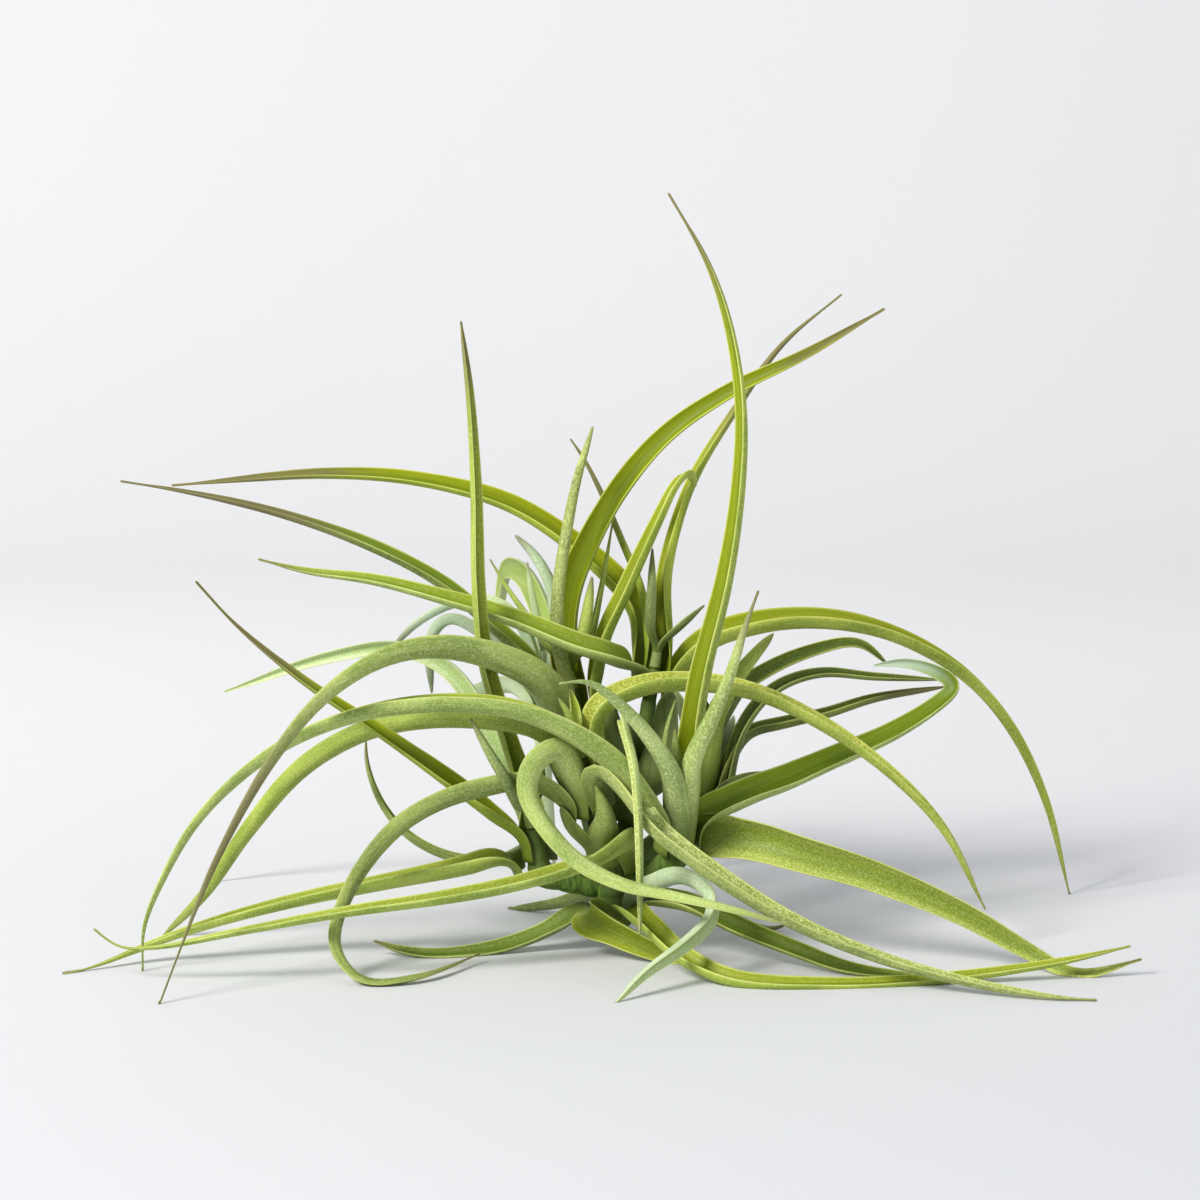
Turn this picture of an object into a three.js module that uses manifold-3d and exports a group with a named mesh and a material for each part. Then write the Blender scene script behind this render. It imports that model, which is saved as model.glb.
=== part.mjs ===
// An inca gold air plant: a clump of seven leaf rosettes that share one short branching stem.
// It lies as picked on a flat surface, and stands on the leaves that reach down to it.
// Millimetres, +Z up, X to the right and Y away from the viewer.

import * as THREE from 'three';
import Module from 'manifold-3d';

const wasm = await Module();
wasm.setup();

// Driving dimensions of the leaves
const BLADE = 0.8; // thickness of a blade near its root
const MARGIN = 0.6; // thickness of a blade at its tip
const CLEAR = 0.3; // gap between two pieces that touch
const FOLD = 1.65; // half angle of the channel that a blade is folded to, in radians
const CLASP = 1.0; // widest half angle that a sheath takes round its stem, in radians
const CLASP_SHARE = 0.5; // half width of a sheath, as a share of its blade's width
const SHEATH = 5; // length of a sheath that lies straight along the stem
const OPENING = 14; // length over which a sheath turns into the blade's channel
const TWIST = 30; // length over which a blade takes its roll
const TIP_WIDTH = 0.9; // least width of a channel before its tip
const TIGHTEST = 0.05; // least radius of a channel's inner face
const YOUNG_TAPER = 0.5; // how fast a young leaf narrows
const HEART = 6; // length of the growing point that young leaves stand round

// Driving dimensions of the stem
const STEM_FOOT = 2.6; // radius of a branch where it leaves the stem
const STEM_TOP = 1.3; // radius of a branch at its growing point
const STEM_SIDES = 8;

// How finely a blade is stepped: a ring for each length, and for each angle that it turns through
const RING_LENGTH = 24;
const RING_TURN = 0.44;
const FEWEST_RINGS = 4;
const FINE_STEPS = 16; // samples between two points of a route
const SPREAD = [-1, -1 / 3, 1 / 3, 1]; // places across a face, as shares of its half angle

// The box of the whole clump is centred on the origin by this move
const MIDDLE = new THREE.Vector3(0.2, 14, 0);

// The plant is laid out as it is seen from the front and slightly from above. A place is
// [across, up, depth]: how far across and up it appears at the plant's middle, and how far away it is.
const VIEW_TILT = THREE.MathUtils.degToRad(9);
const VIEW_DISTANCE = 733.3;
const VIEW_AIM = 75.9; // how far up the view is aimed
const VIEW_RIGHT = new THREE.Vector3(1, 0, 0);
const VIEW_UP = new THREE.Vector3(0, Math.sin(VIEW_TILT), Math.cos(VIEW_TILT));
const VIEW_BACK = new THREE.Vector3(0, -Math.cos(VIEW_TILT), Math.sin(VIEW_TILT));
const EYE = new THREE.Vector3()
  .addScaledVector(VIEW_UP, VIEW_AIM)
  .addScaledVector(VIEW_BACK, VIEW_DISTANCE);

function seen([across, up, depth]) {
  const place = new THREE.Vector3().addScaledVector(VIEW_RIGHT, across).addScaledVector(VIEW_UP, up);
  const reach = (depth - EYE.y) / (place.y - EYE.y);
  return place.sub(EYE).multiplyScalar(reach).add(EYE);
}

// Branches of the stem, each from its foot to the growing point of its rosette. A branch with a neck
// bends there, and its rosette sits on the part above the neck.
const BRANCHES = {
  right: { foot: [5.5, 12, -4], neck: [17.3, 19.5, -10.5], top: [18.6, 31, -12.3] },
  left: { foot: [0, 13, -3], neck: [-13, 15.5, -5.5], top: [-15, 25.5, -6.5] },
  front: { foot: [2, 16, -5], top: [-4, 41, -12] },
  tall: { foot: [1, 18, 0], top: [-6, 56, 8] },
  high: { foot: [5, 18, 0], top: [11.9, 60.5, 7.4] },
  pale: { foot: [1, 18, 1], top: [-11, 61, 28] },
  dark: { foot: [5, 17, 0], neck: [20, 27, 13], top: [23.5, 40, 18] },
  old: { foot: [3, 5, -3], top: [3, 20, -3], radius: 4 },
};

// Colours of the leaves
const TONES = {
  fresh: 0x9fb53c,
  silvery: 0xa3b585,
  grey: 0x8d9f74,
  pale: 0xb4c9ac,
  deep: 0x5d7a2a,
  woody: 0x8a7f55,
};

// The large leaves. ring is how many sheaths lie between the leaf and its branch, lift how far up the
// branch it starts, and turn the way that it faces, in degrees from the right towards the back. width
// is its channel's at the root, taper how fast it narrows, and roll how far its channel is turned.
const LEAVES = [
  {
    name: 'leaf_right_tallest', branch: 'right', tone: 'fresh',
    ring: 0, lift: 4, turn: 80, width: 6.2, taper: 0.85, roll: -50,
    route: [
      [20.5, 47, -15], [22.6, 60, -17], [27.6, 80, -18], [30.6, 100, -18], [31.2, 118, -17],
      [28.5, 136, -15], [23.8, 150, -13], [15.2, 165.2, -10],
    ],
  },
  {
    name: 'leaf_right_short', branch: 'right', tone: 'silvery',
    ring: 0, lift: 4, turn: 290, width: 4.6, taper: 0.8, roll: 0,
    route: [[20.5, 40, -20], [25, 50, -22.5], [29, 60, -23.5], [32, 70, -23.5], [34.8, 77.7, -22]],
  },
  {
    name: 'leaf_right_hook', branch: 'right', tone: 'silvery',
    ring: 1, lift: 3, turn: 235, width: 5.4, taper: 0.8, roll: 0,
    route: [[15.5, 37, -20], [11, 45, -23], [3, 54, -27], [-3, 58, -30], [-8.8, 57.5, -33]],
  },
  {
    name: 'leaf_right_low', branch: 'right', tone: 'silvery',
    ring: 2, lift: 0.5, turn: 60, width: 8.4, taper: 0.75, roll: -5, sheath: 2,
    route: [
      [23, 24.5, -7], [28.6, 24, -9], [36, 22.6, -12], [43.7, 20.2, -15], [60, 15.3, -17],
      [80, 6.8, -18.5], [95, -1.7, -21], [105, -6.4, -26], [118.9, -3.2, -26],
    ],
  },
  {
    name: 'leaf_right_curled', branch: 'right', tone: 'fresh',
    ring: 1, lift: 2.5, turn: 30, width: 6.6, taper: 0.55, roll: 12,
    route: [
      [32, 33, -6], [40, 36, -2], [50, 40.3, 4], [65, 47, 11], [75, 53.5, 15], [78.3, 57, 17],
      [74, 60.2, 18], [67, 62.2, 19], [60.5, 61.5, 19],
    ],
  },
  {
    name: 'leaf_right_arch', branch: 'right', tone: 'silvery',
    ring: 2, lift: 1.5, turn: 190, width: 8.8, taper: 0.85, roll: 15,
    route: [
      [8, 34.5, -16], [0, 42.8, -19], [-15, 50.8, -21], [-30, 53.2, -21.5], [-50, 51.5, -22],
      [-68, 45, -22], [-80, 36.5, -22], [-89, 27, -22.5], [-96, 15, -23], [-100.3, 4, -23], [-100.6, -5.8, -21.5],
    ],
  },
  {
    name: 'leaf_left_low', branch: 'left', tone: 'fresh',
    ring: 2, lift: 0.5, turn: 195, width: 7, taper: 0.9, roll: 5, sheath: 3,
    route: [
      [-22, 18.5, -8], [-36, 16, -10], [-50, 13.3, -11], [-70, 9, -12.5], [-88, 4, -14],
      [-100, -0.3, -15.5], [-110, -4.3, -20], [-118, -6.7, -24],
    ],
  },
  {
    name: 'leaf_left_upright', branch: 'left', tone: 'fresh',
    ring: 1, lift: 3, turn: 100, width: 4.6, taper: 0.5, roll: 50,
    route: [
      [-15.5, 31, -3], [-19, 41, -4], [-22.5, 52, -5], [-25.5, 63, -7], [-27, 80, -9],
      [-27.4, 100, -9], [-28.6, 120, -6], [-30.6, 137, -2],
    ],
  },
  {
    name: 'leaf_left_rising', branch: 'left', tone: 'fresh',
    ring: 0, lift: 4, turn: 200, width: 4.8, taper: 1, roll: -50,
    route: [[-25, 30, -8], [-35, 37.5, -11], [-50, 48, -14], [-65, 58, -17], [-80, 70.3, -19], [-88.8, 79.8, -20]],
  },
  {
    name: 'leaf_left_thin', branch: 'left', tone: 'grey',
    ring: 3, lift: 0.3, turn: 135, width: 3, taper: 0.5, roll: 0,
    route: [[-22, 18.5, 3], [-33, 19.5, 5], [-42, 24, 7], [-48, 31, 8], [-51.3, 40, 9], [-51.5, 46, 9]],
  },
  {
    name: 'leaf_left_back', branch: 'left', tone: 'pale',
    ring: 2, lift: 1.5, turn: 70, width: 4.6, taper: 0.6, roll: 0,
    route: [[-19, 36, 5], [-25, 49, 8], [-33, 60.5, 11], [-44, 65.3, 15], [-60, 63.3, 20], [-82.3, 55.8, 28]],
  },
  {
    name: 'leaf_front_low', branch: 'front', tone: 'grey',
    ring: 2, lift: 17, turn: 310, width: 6.6, taper: 0.7, roll: 0, sheath: 2,
    route: [
      [0, 39, -16], [4, 36.2, -17.5], [8, 31.2, -20], [12, 25.8, -23.5], [20, 19.3, -27],
      [40, 6.3, -31], [60, -2.3, -35], [80, -8, -39.5], [100, -11.5, -44.5], [109, -12.1, -45],
    ],
  },
  {
    name: 'leaf_front_right', branch: 'front', tone: 'fresh',
    ring: 1, lift: 18, turn: 20, width: 7, taper: 0.6, roll: -5,
    route: [
      [-1, 51, -12], [8, 56.5, -10], [20, 57.8, -7], [35, 55.3, -6], [50, 48, -6],
      [65, 37, -6], [76, 25, -5], [84.7, 8, -4],
    ],
  },
  {
    name: 'leaf_front_loop', branch: 'front', tone: 'silvery',
    ring: 2, lift: 16, turn: 215, width: 7, taper: 0.65, roll: 60,
    route: [
      [-10, 43, -17], [-15, 39, -20], [-15.8, 33, -22], [-12, 26, -24.5], [-5, 18.5, -27], [5, 13.3, -30],
      [15, 11, -33], [28, 8, -36], [42, 4.3, -38],
    ],
  },
  {
    name: 'leaf_front_curl', branch: 'front', tone: 'grey',
    ring: 3, lift: 13, turn: 195, width: 6, taper: 0.75, roll: 55,
    route: [
      [-14, 36, -16], [-25, 34.5, -17], [-35, 31.5, -18], [-45, 25.3, -20], [-55, 12, -23.5], [-58.3, 0, -27],
      [-52, -8, -33], [-40, -7, -31], [-26.5, -2, -15],
    ],
  },
  {
    name: 'leaf_front_arch', branch: 'front', tone: 'fresh',
    ring: 1, lift: 18, turn: 150, width: 6.8, taper: 0.5, roll: 75,
    route: [
      [-12, 46.5, -12], [-30, 49.8, -10], [-50, 47.3, -6.5], [-65, 39, -3], [-77.3, 25, 0],
      [-87, 11, 4], [-96, 2, 7],
    ],
  },
  {
    name: 'leaf_tall_arch', branch: 'tall', tone: 'silvery',
    ring: 3, lift: 27, turn: 215, width: 9, taper: 1.15, roll: 35,
    route: [
      [-13, 57.5, -3], [-25, 63.5, -11], [-38, 65.2, -19], [-50, 62, -26], [-62, 53.5, -31], [-73, 39.5, -35],
      [-85, 17.5, -40], [-92, 0, -44], [-97, -13.2, -47],
    ],
  },
  {
    name: 'leaf_tall_left', branch: 'tall', tone: 'fresh',
    ring: 2, lift: 30, turn: 165, width: 5.2, taper: 0.8, roll: 0,
    route: [
      [-15, 62, 8], [-25, 71.5, 8], [-35, 79.8, 7], [-50, 87.7, 5], [-70, 94.8, 2], [-90, 99.5, -1], [-105.3, 102, -4],
    ],
  },
  {
    name: 'leaf_tall_right', branch: 'tall', tone: 'fresh',
    ring: 1, lift: 32, turn: 95, width: 6.2, taper: 0.7, roll: -35,
    route: [
      [-7.8, 68, 12], [-6.5, 78, 12], [-3, 87, 12], [5, 101, 11], [15, 112.5, 10],
      [29, 122, 8], [45, 129.8, 5], [62.4, 139.8, 2],
    ],
  },
  {
    name: 'leaf_tall_folded', branch: 'tall', tone: 'fresh',
    ring: 2, lift: 30, turn: 0, width: 5.4, taper: 0.45, roll: 15,
    route: [[0, 65, 7], [6, 79, 7], [13, 94, 7], [17, 102, 8], [19.6, 104, 11], [21, 101, 15]],
  },
  {
    name: 'leaf_tall_thin', branch: 'tall', tone: 'grey',
    ring: 0, lift: 34, turn: 235, width: 2.9, taper: 0.4, roll: 0,
    route: [[-9.6, 68, 4], [-9.2, 80, 3], [-7.5, 91, 3], [-5.3, 102, 3], [-1.7, 113.8, 4]],
  },
  {
    name: 'leaf_high_left', branch: 'high', tone: 'fresh',
    ring: 2, lift: 37, turn: 215, width: 6.4, taper: 0.75, roll: -20,
    route: [[3, 63.5, -2], [-5, 66, -4], [-20, 72, -4], [-35, 76.5, -3], [-50, 80.3, -2], [-65, 82.3, 0], [-75, 84.8, 1]],
  },
  {
    name: 'leaf_high_arch', branch: 'high', tone: 'fresh',
    ring: 2, lift: 37, turn: 120, width: 6.8, taper: 0.8, roll: 10,
    route: [
      [8.8, 73, 17], [3, 80.5, 20], [-5, 87.5, 22], [-20, 97, 22], [-40, 102.3, 21], [-60, 103.6, 19], [-94, 101.1, 15],
    ],
  },
  {
    name: 'leaf_high_long', branch: 'high', tone: 'fresh',
    ring: 1, lift: 40, turn: 45, width: 4.6, taper: 0.8, roll: -25,
    route: [
      [14.2, 80, 13], [17, 93, 19], [21, 103.5, 22], [29.3, 117, 25], [40, 132, 27], [53, 143, 28],
    ],
  },
  {
    name: 'leaf_high_thin', branch: 'high', tone: 'fresh',
    ring: 0, lift: 41, turn: 170, width: 2.2, taper: 0.4, roll: 0,
    route: [[9.5, 77, 13], [5, 88.5, 16], [1, 98, 17], [-3.5, 107, 17], [-6.4, 111.2, 17]],
  },
  {
    name: 'leaf_high_right', branch: 'high', tone: 'fresh',
    ring: 2, lift: 35, turn: 5, width: 7.4, taper: 0.7, roll: 25,
    route: [
      [22, 66, 9], [35, 70.7, 12], [50, 71.5, 17], [65, 68.2, 24], [80, 59.7, 31], [90, 48.5, 37],
      [98, 32, 42], [103.3, 11, 46],
    ],
  },
  {
    name: 'leaf_high_hanging', branch: 'high', tone: 'silvery',
    ring: 0, lift: 24, turn: 275, width: 2.6, taper: 0.35, roll: 62, sheath: 2,
    route: [
      [7.6, 47.5, -3], [5.6, 50.3, -9], [4.9, 50.2, -15], [5.7, 46.5, -20], [7.4, 40, -23.5],
      [8.4, 30, -26.5], [8.8, 15, -27], [8.8, 2.5, -26.5],
    ],
  },
  {
    name: 'leaf_pale_curled', branch: 'pale', tone: 'pale',
    ring: 1, lift: 38, turn: 165, width: 4.6, taper: 0.5, roll: 0,
    route: [[-17, 70, 27], [-23, 75.5, 28], [-31, 75.5, 30], [-40, 71, 33], [-46, 65, 35]],
  },
  {
    name: 'leaf_pale_broad', branch: 'pale', tone: 'pale',
    ring: 1, lift: 38, turn: 60, width: 5.4, taper: 0.4, roll: 0,
    route: [[-12, 72, 36], [-16, 81, 39], [-20, 83, 45], [-22, 75, 53], [-23, 60, 58]],
  },
  {
    name: 'leaf_pale_hooked', branch: 'pale', tone: 'pale',
    ring: 2, lift: 35, turn: 205, width: 4.2, taper: 0.5, roll: 0,
    route: [[-18, 64, 23], [-26, 68.5, 22], [-33, 72, 22], [-37, 68, 23], [-37, 55.7, 25]],
  },
  {
    name: 'leaf_pale_upright', branch: 'pale', tone: 'pale',
    ring: 1, lift: 38, turn: 285, width: 3.2, taper: 0.4, roll: 0,
    route: [[-9.5, 74, 21], [-11.5, 81, 21], [-14.5, 86, 22], [-18.5, 90, 23]],
  },
  {
    name: 'leaf_pale_floor', branch: 'pale', tone: 'pale',
    ring: 2, lift: 34, turn: 100, width: 5.4, taper: 0.5, roll: 0,
    route: [[-11, 66, 38], [-12, 66, 50], [-13, 55, 62], [-12, 38, 70], [-10, 17.2, 75]],
  },
  {
    name: 'leaf_pale_left_floor', branch: 'pale', tone: 'pale',
    ring: 3, lift: 32, turn: 150, width: 4.6, taper: 0.5, roll: 0,
    route: [[-19, 57, 32], [-32, 53, 40], [-46, 48.5, 46], [-58, 43, 50], [-68, 36, 54], [-77, 25.5, 57], [-84, 13.6, 58.5]],
  },
  {
    name: 'leaf_dark_low', branch: 'dark', tone: 'deep',
    ring: 2, lift: 0.5, turn: 335, width: 5, taper: 0.5, roll: 20,
    route: [[32, 36, 13], [40, 36.5, 14], [48, 38.5, 15], [58, 42, 16]],
  },
  {
    name: 'leaf_dark_middle', branch: 'dark', tone: 'deep',
    ring: 1, lift: 3, turn: 15, width: 4.4, taper: 0.5, roll: 20,
    route: [[32, 46.3, 24], [40, 48.7, 26], [50, 51, 28], [60, 54.2, 30], [76, 56.8, 34]],
  },
  {
    name: 'leaf_dark_upper', branch: 'dark', tone: 'deep',
    ring: 0, lift: 6, turn: 80, width: 4, taper: 0.45, roll: 0,
    route: [[28, 54, 28], [36, 60, 31], [46, 64.5, 33], [57, 66.5, 34], [63, 62, 35]],
  },
  {
    name: 'leaf_dark_straight', branch: 'dark', tone: 'fresh',
    ring: 0, lift: 6, turn: 290, width: 5, taper: 0.45, roll: 0,
    route: [[25.5, 50, 18], [28, 55, 18], [32, 61, 19], [38, 68.3, 21]],
  },
  {
    name: 'leaf_dark_level', branch: 'dark', tone: 'deep',
    ring: 3, lift: 0.3, turn: 20, width: 3.6, taper: 0.5, roll: 15,
    route: [[31, 47, 20], [38, 56, 21], [48, 59.8, 23], [60, 59, 25], [75, 58.3, 27]],
  },
  {
    name: 'leaf_dark_back', branch: 'dark', tone: 'deep',
    ring: 2, lift: 1.5, turn: 85, width: 5.2, taper: 0.5, roll: 0,
    route: [[27, 47, 38], [27, 50, 48], [26, 44, 59], [24, 31, 67], [22, 16.5, 72]],
  },
  {
    name: 'leaf_dark_back_left', branch: 'dark', tone: 'deep',
    ring: 1, lift: 4, turn: 150, width: 4.8, taper: 0.5, roll: 0,
    route: [[19, 50, 32], [16, 54, 43], [12, 48, 55], [9, 34, 63], [7, 15.8, 69]],
  },
  {
    name: 'leaf_sheath_front', branch: 'front', tone: 'grey',
    ring: 1, lift: 3, turn: 265, width: 6.5, taper: 0.8, roll: 15,
    route: [[1.2, 26, -14], [1, 30, -15.5], [-1, 35, -16]],
  },
  {
    name: 'leaf_sheath_left', branch: 'front', tone: 'grey',
    ring: 0, lift: 2, turn: 205, width: 6, taper: 0.5, roll: 0,
    route: [[-4.5, 24, -10], [-7, 27, -12.5], [-8.5, 30.5, -14.5]],
  },
  {
    name: 'leaf_high_inner', branch: 'high', tone: 'deep',
    ring: 1, lift: 9, turn: 250, width: 9, taper: 0.4, roll: 0,
    route: [[3, 40, -3], [1.5, 48, -3.5], [1, 55, -2]],
  },
  {
    name: 'leaf_high_lower', branch: 'high', tone: 'deep',
    ring: 0, lift: 9, turn: 310, width: 10, taper: 0.4, roll: 0,
    route: [[12.5, 36, -3], [14.5, 45, -3], [15.5, 56, -1.5]],
  },
  {
    name: 'leaf_old_under', branch: 'old', tone: 'fresh',
    ring: 0, lift: 1, turn: 235, width: 6, taper: 0.5, roll: 0, sheath: 3,
    route: [[-4, 7, -9], [3, 3, -12], [12, -1.2, -14.5], [21, -4.3, -16]],
  },
  {
    name: 'leaf_old_left', branch: 'old', tone: 'fresh',
    ring: 1, lift: 12, turn: 320, width: 5.4, taper: 0.8, roll: -67, sheath: 3,
    route: [
      [6, 22.3, -11.5], [-0.4, 19, -17.5], [-8.8, 16, -19.5], [-20, 13, -23], [-35, 10.2, -27],
      [-56, 7.2, -31], [-80, 2.8, -32], [-98, -0.6, -31], [-106, -0.4, -30], [-111.2, 3.4, -29],
    ],
  },
  {
    name: 'leaf_old_bent', branch: 'old', tone: 'pale',
    ring: 1, lift: 2, turn: 315, width: 5, taper: 0.5, roll: -50, sheath: 3,
    route: [[16, 15, -14], [21, 14, -18.5], [24.8, 10, -23], [24, 5.5, -27], [17, -1, -34], [10, -6, -40], [3.5, -12.8, -46]],
  },
  {
    name: 'leaf_old_front', branch: 'old', tone: 'fresh',
    ring: 0, lift: 1, turn: 290, width: 5.2, taper: 0.6, roll: -5, sheath: 3,
    route: [
      [10, 5, -19], [18, -2.5, -27], [30, -7.8, -33], [50, -8.9, -34], [70, -8, -32], [90, -5.6, -30],
      [104, -3.2, -29], [116.5, -0.3, -28],
    ],
  },
  {
    name: 'leaf_old_dark', branch: 'old', tone: 'grey',
    ring: 0, lift: 1, turn: 345, width: 5, taper: 0.5, roll: 25, sheath: 3,
    route: [[18, 9.5, -8], [30, 4, -13], [42, -0.8, -18], [55, -5.3, -24], [70, -6.9, -27]],
  },
  {
    name: 'leaf_old_right', branch: 'old', tone: 'grey',
    ring: 0, lift: 1, turn: 40, width: 3.6, taper: 0.5, roll: 0, sheath: 3,
    route: [[14, 11, 5], [24, 8, 9], [33, 4.6, 12], [38, 3.4, 12], [41.5, 4.8, 11]],
  },
  {
    name: 'leaf_old_low_left', branch: 'old', tone: 'grey',
    ring: 0, lift: 1, turn: 180, width: 4, taper: 0.5, roll: -20, sheath: 3,
    route: [[-8, 5, -4], [-20, 0, -6], [-35, -2.1, -10], [-44, -1.1, -10], [-49.5, 0.8, -9]],
  },
  {
    name: 'leaf_old_back', branch: 'old', tone: 'grey',
    ring: 0, lift: 1, turn: 100, width: 4.6, taper: 0.5, roll: 0, sheath: 3,
    route: [[2, 11, 10], [-2, 11, 18], [-10, 8.9, 26], [-20, 7.8, 32]],
  },
];

// Young leaves at the heart of a rosette, fused at their roots round its growing point
const HEARTS = [
  {
    name: 'heart_right', branch: 'right', tone: 'silvery',
    young: [
      { turn: 240, width: 2.2, route: [[17.2, 39, -15.5], [16.5, 43, -17], [16.5, 47.2, -18]] },
      { turn: 190, width: 1.8, route: [[14.7, 39, -13.8], [14.2, 44, -12.8], [15, 49, -11.4], [16.6, 53.8, -9.5]] },
    ],
  },
  {
    name: 'heart_left', branch: 'left', tone: 'grey',
    young: [
      { turn: 285, width: 2.8, route: [[-17, 30, -15], [-20.5, 36, -21.5], [-24.8, 43, -22], [-28.3, 49.5, -20]] },
      { turn: 10, width: 1.8, route: [[-13.2, 32, -6], [-12.3, 36, -5], [-12.6, 40, -3.5]] },
    ],
  },
  {
    name: 'heart_front', branch: 'front', tone: 'fresh',
    young: [
      { turn: 100, width: 2.4, route: [[-5, 49, -10], [-5.5, 52, -9], [-6.5, 56, -8]] },
      { turn: 250, width: 1.8, route: [[-6, 48, -15], [-7, 51, -15], [-9, 54, -15]] },
    ],
  },
  {
    name: 'heart_tall', branch: 'tall', tone: 'fresh',
    young: [
      { turn: 180, width: 2.2, route: [[-10.3, 64, 9], [-15, 71, 12], [-20, 78, 15], [-24.1, 84.7, 17]] },
      { turn: 270, width: 3, route: [[-4.5, 65, 6], [-3, 72, 6], [-1.8, 80.7, 6]] },
      { turn: 10, width: 1.8, route: [[-3, 65, 9.5], [0, 77, 12.5], [2.7, 92.5, 15]] },
    ],
  },
  {
    name: 'heart_high', branch: 'high', tone: 'deep',
    young: [
      { turn: 210, width: 3, route: [[10.8, 68, 6.5], [11.2, 77, 7], [11.5, 87, 9]] },
      { turn: 330, width: 2.6, route: [[15, 67.5, 6], [18.6, 71, 5.3], [22.8, 74.6, 5]] },
    ],
  },
  {
    name: 'heart_pale', branch: 'pale', tone: 'pale',
    young: [
      { turn: 20, width: 2.4, route: [[-9, 71, 29], [-7, 79, 30], [-7, 85, 31]] },
      { turn: 200, width: 2.4, route: [[-13.5, 70, 28], [-15, 77, 28], [-16, 84, 29]] },
    ],
  },
  {
    name: 'heart_dark', branch: 'dark', tone: 'deep',
    young: [
      { turn: 220, width: 2.4, route: [[24, 50, 21], [21, 56, 19], [18, 61, 18]] },
      { turn: 0, width: 2, route: [[26.5, 47, 21], [29, 52, 23], [33, 57.5, 25]] },
    ],
  },
];

// The straight part of a branch that carries leaves: where it starts, which way it grows and how long it is
function branchLine(branch) {
  const foot = seen(branch.neck ?? branch.foot);
  const top = seen(branch.top);
  const length = foot.distanceTo(top);
  const along = top.clone().sub(foot).divideScalar(length);
  return { foot, top, length, along };
}

function branchRadius(branch, share) {
  return branch.radius ?? THREE.MathUtils.lerp(STEM_FOOT, STEM_TOP, share);
}

function solid(points, faces) {
  const vertProperties = new Float32Array(points.flatMap((p) => [p.x, p.y, p.z]));
  const triVerts = new Uint32Array(faces.flat());
  return new wasm.Manifold(new wasm.Mesh({ numProp: 3, vertProperties, triVerts }));
}

// A closed skin over rings with the same number of points, from the faces of its root to its tip
function skin(rings, rootFaces, tip) {
  const sides = rings[0].length;
  const points = [...rings.flat(), tip];
  const faces = [...rootFaces];
  for (let i = 0; i + 1 < rings.length; i += 1) {
    for (let j = 0; j < sides; j += 1) {
      const next = (j + 1) % sides;
      const [a, b] = [i * sides + j, (i + 1) * sides + j];
      const [c, d] = [(i + 1) * sides + next, i * sides + next];
      // The inner and the outer face of a blade are split alike
      if (j < sides / 2) faces.push([a, b, c], [a, c, d]);
      else faces.push([a, b, d], [b, c, d]);
    }
  }
  const last = (rings.length - 1) * sides;
  for (let j = 0; j < sides; j += 1) faces.push([last + j, points.length - 1, last + ((j + 1) % sides)]);
  return solid(points, faces);
}

// The middle line of a leaf: up its branch inside the sheath, then along its route to the tip
function leafLine(leaf) {
  const branch = BRANCHES[leaf.branch];
  const { foot, along, length } = branchLine(branch);
  const turn = THREE.MathUtils.degToRad(leaf.turn);
  const outward = new THREE.Vector3(Math.cos(turn), Math.sin(turn), 0).projectOnPlane(along).normalize();
  const radius = leaf.radius ?? branchRadius(branch, leaf.lift / length) + CLEAR + BLADE / 2
    + leaf.ring * (BLADE + CLEAR);
  const root = foot.clone().addScaledVector(along, leaf.lift).addScaledVector(outward, radius);
  const points = [root, root.clone().addScaledVector(along, leaf.sheath ?? SHEATH), ...leaf.route.map(seen)];
  const curve = new THREE.CatmullRomCurve3(points, false, 'centripetal');
  const steps = FINE_STEPS * (points.length - 1);
  const line = Array.from({ length: steps + 1 }, (_, i) => curve.getPoint(i / steps));
  return { line, radius, outward };
}

// The distance along a line, its direction, and the side that a channel carried along it opens to
function follow(line, outward, roll) {
  const reach = [0];
  for (let i = 1; i < line.length; i += 1) reach.push(reach[i - 1] + line[i].distanceTo(line[i - 1]));
  const ahead = line.map((_, i) => {
    const from = line[Math.max(i - 1, 0)];
    const to = line[Math.min(i + 1, line.length - 1)];
    return to.clone().sub(from).normalize();
  });
  let carried = outward.clone().negate();
  const inner = ahead.map((direction, i) => {
    carried = carried.clone().projectOnPlane(direction).normalize();
    const turned = THREE.MathUtils.degToRad(roll) * THREE.MathUtils.smoothstep(reach[i], 0, TWIST);
    return carried.clone().applyAxisAngle(direction, turned);
  });
  return { reach, ahead, inner };
}

// The samples where a ring is set: closer together where the line bends
function ringPlaces(reach, ahead) {
  const effort = [0];
  for (let i = 1; i < reach.length; i += 1) {
    const bend = ahead[i].angleTo(ahead[i - 1]);
    effort.push(effort[i - 1] + (reach[i] - reach[i - 1]) / RING_LENGTH + bend / RING_TURN);
  }
  const count = Math.max(FEWEST_RINGS, Math.round(effort.at(-1)));
  const goals = Array.from({ length: count }, (_, k) => (effort.at(-1) * k) / count);
  return goals.map((goal) => effort.findIndex((value) => value >= goal));
}

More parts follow.
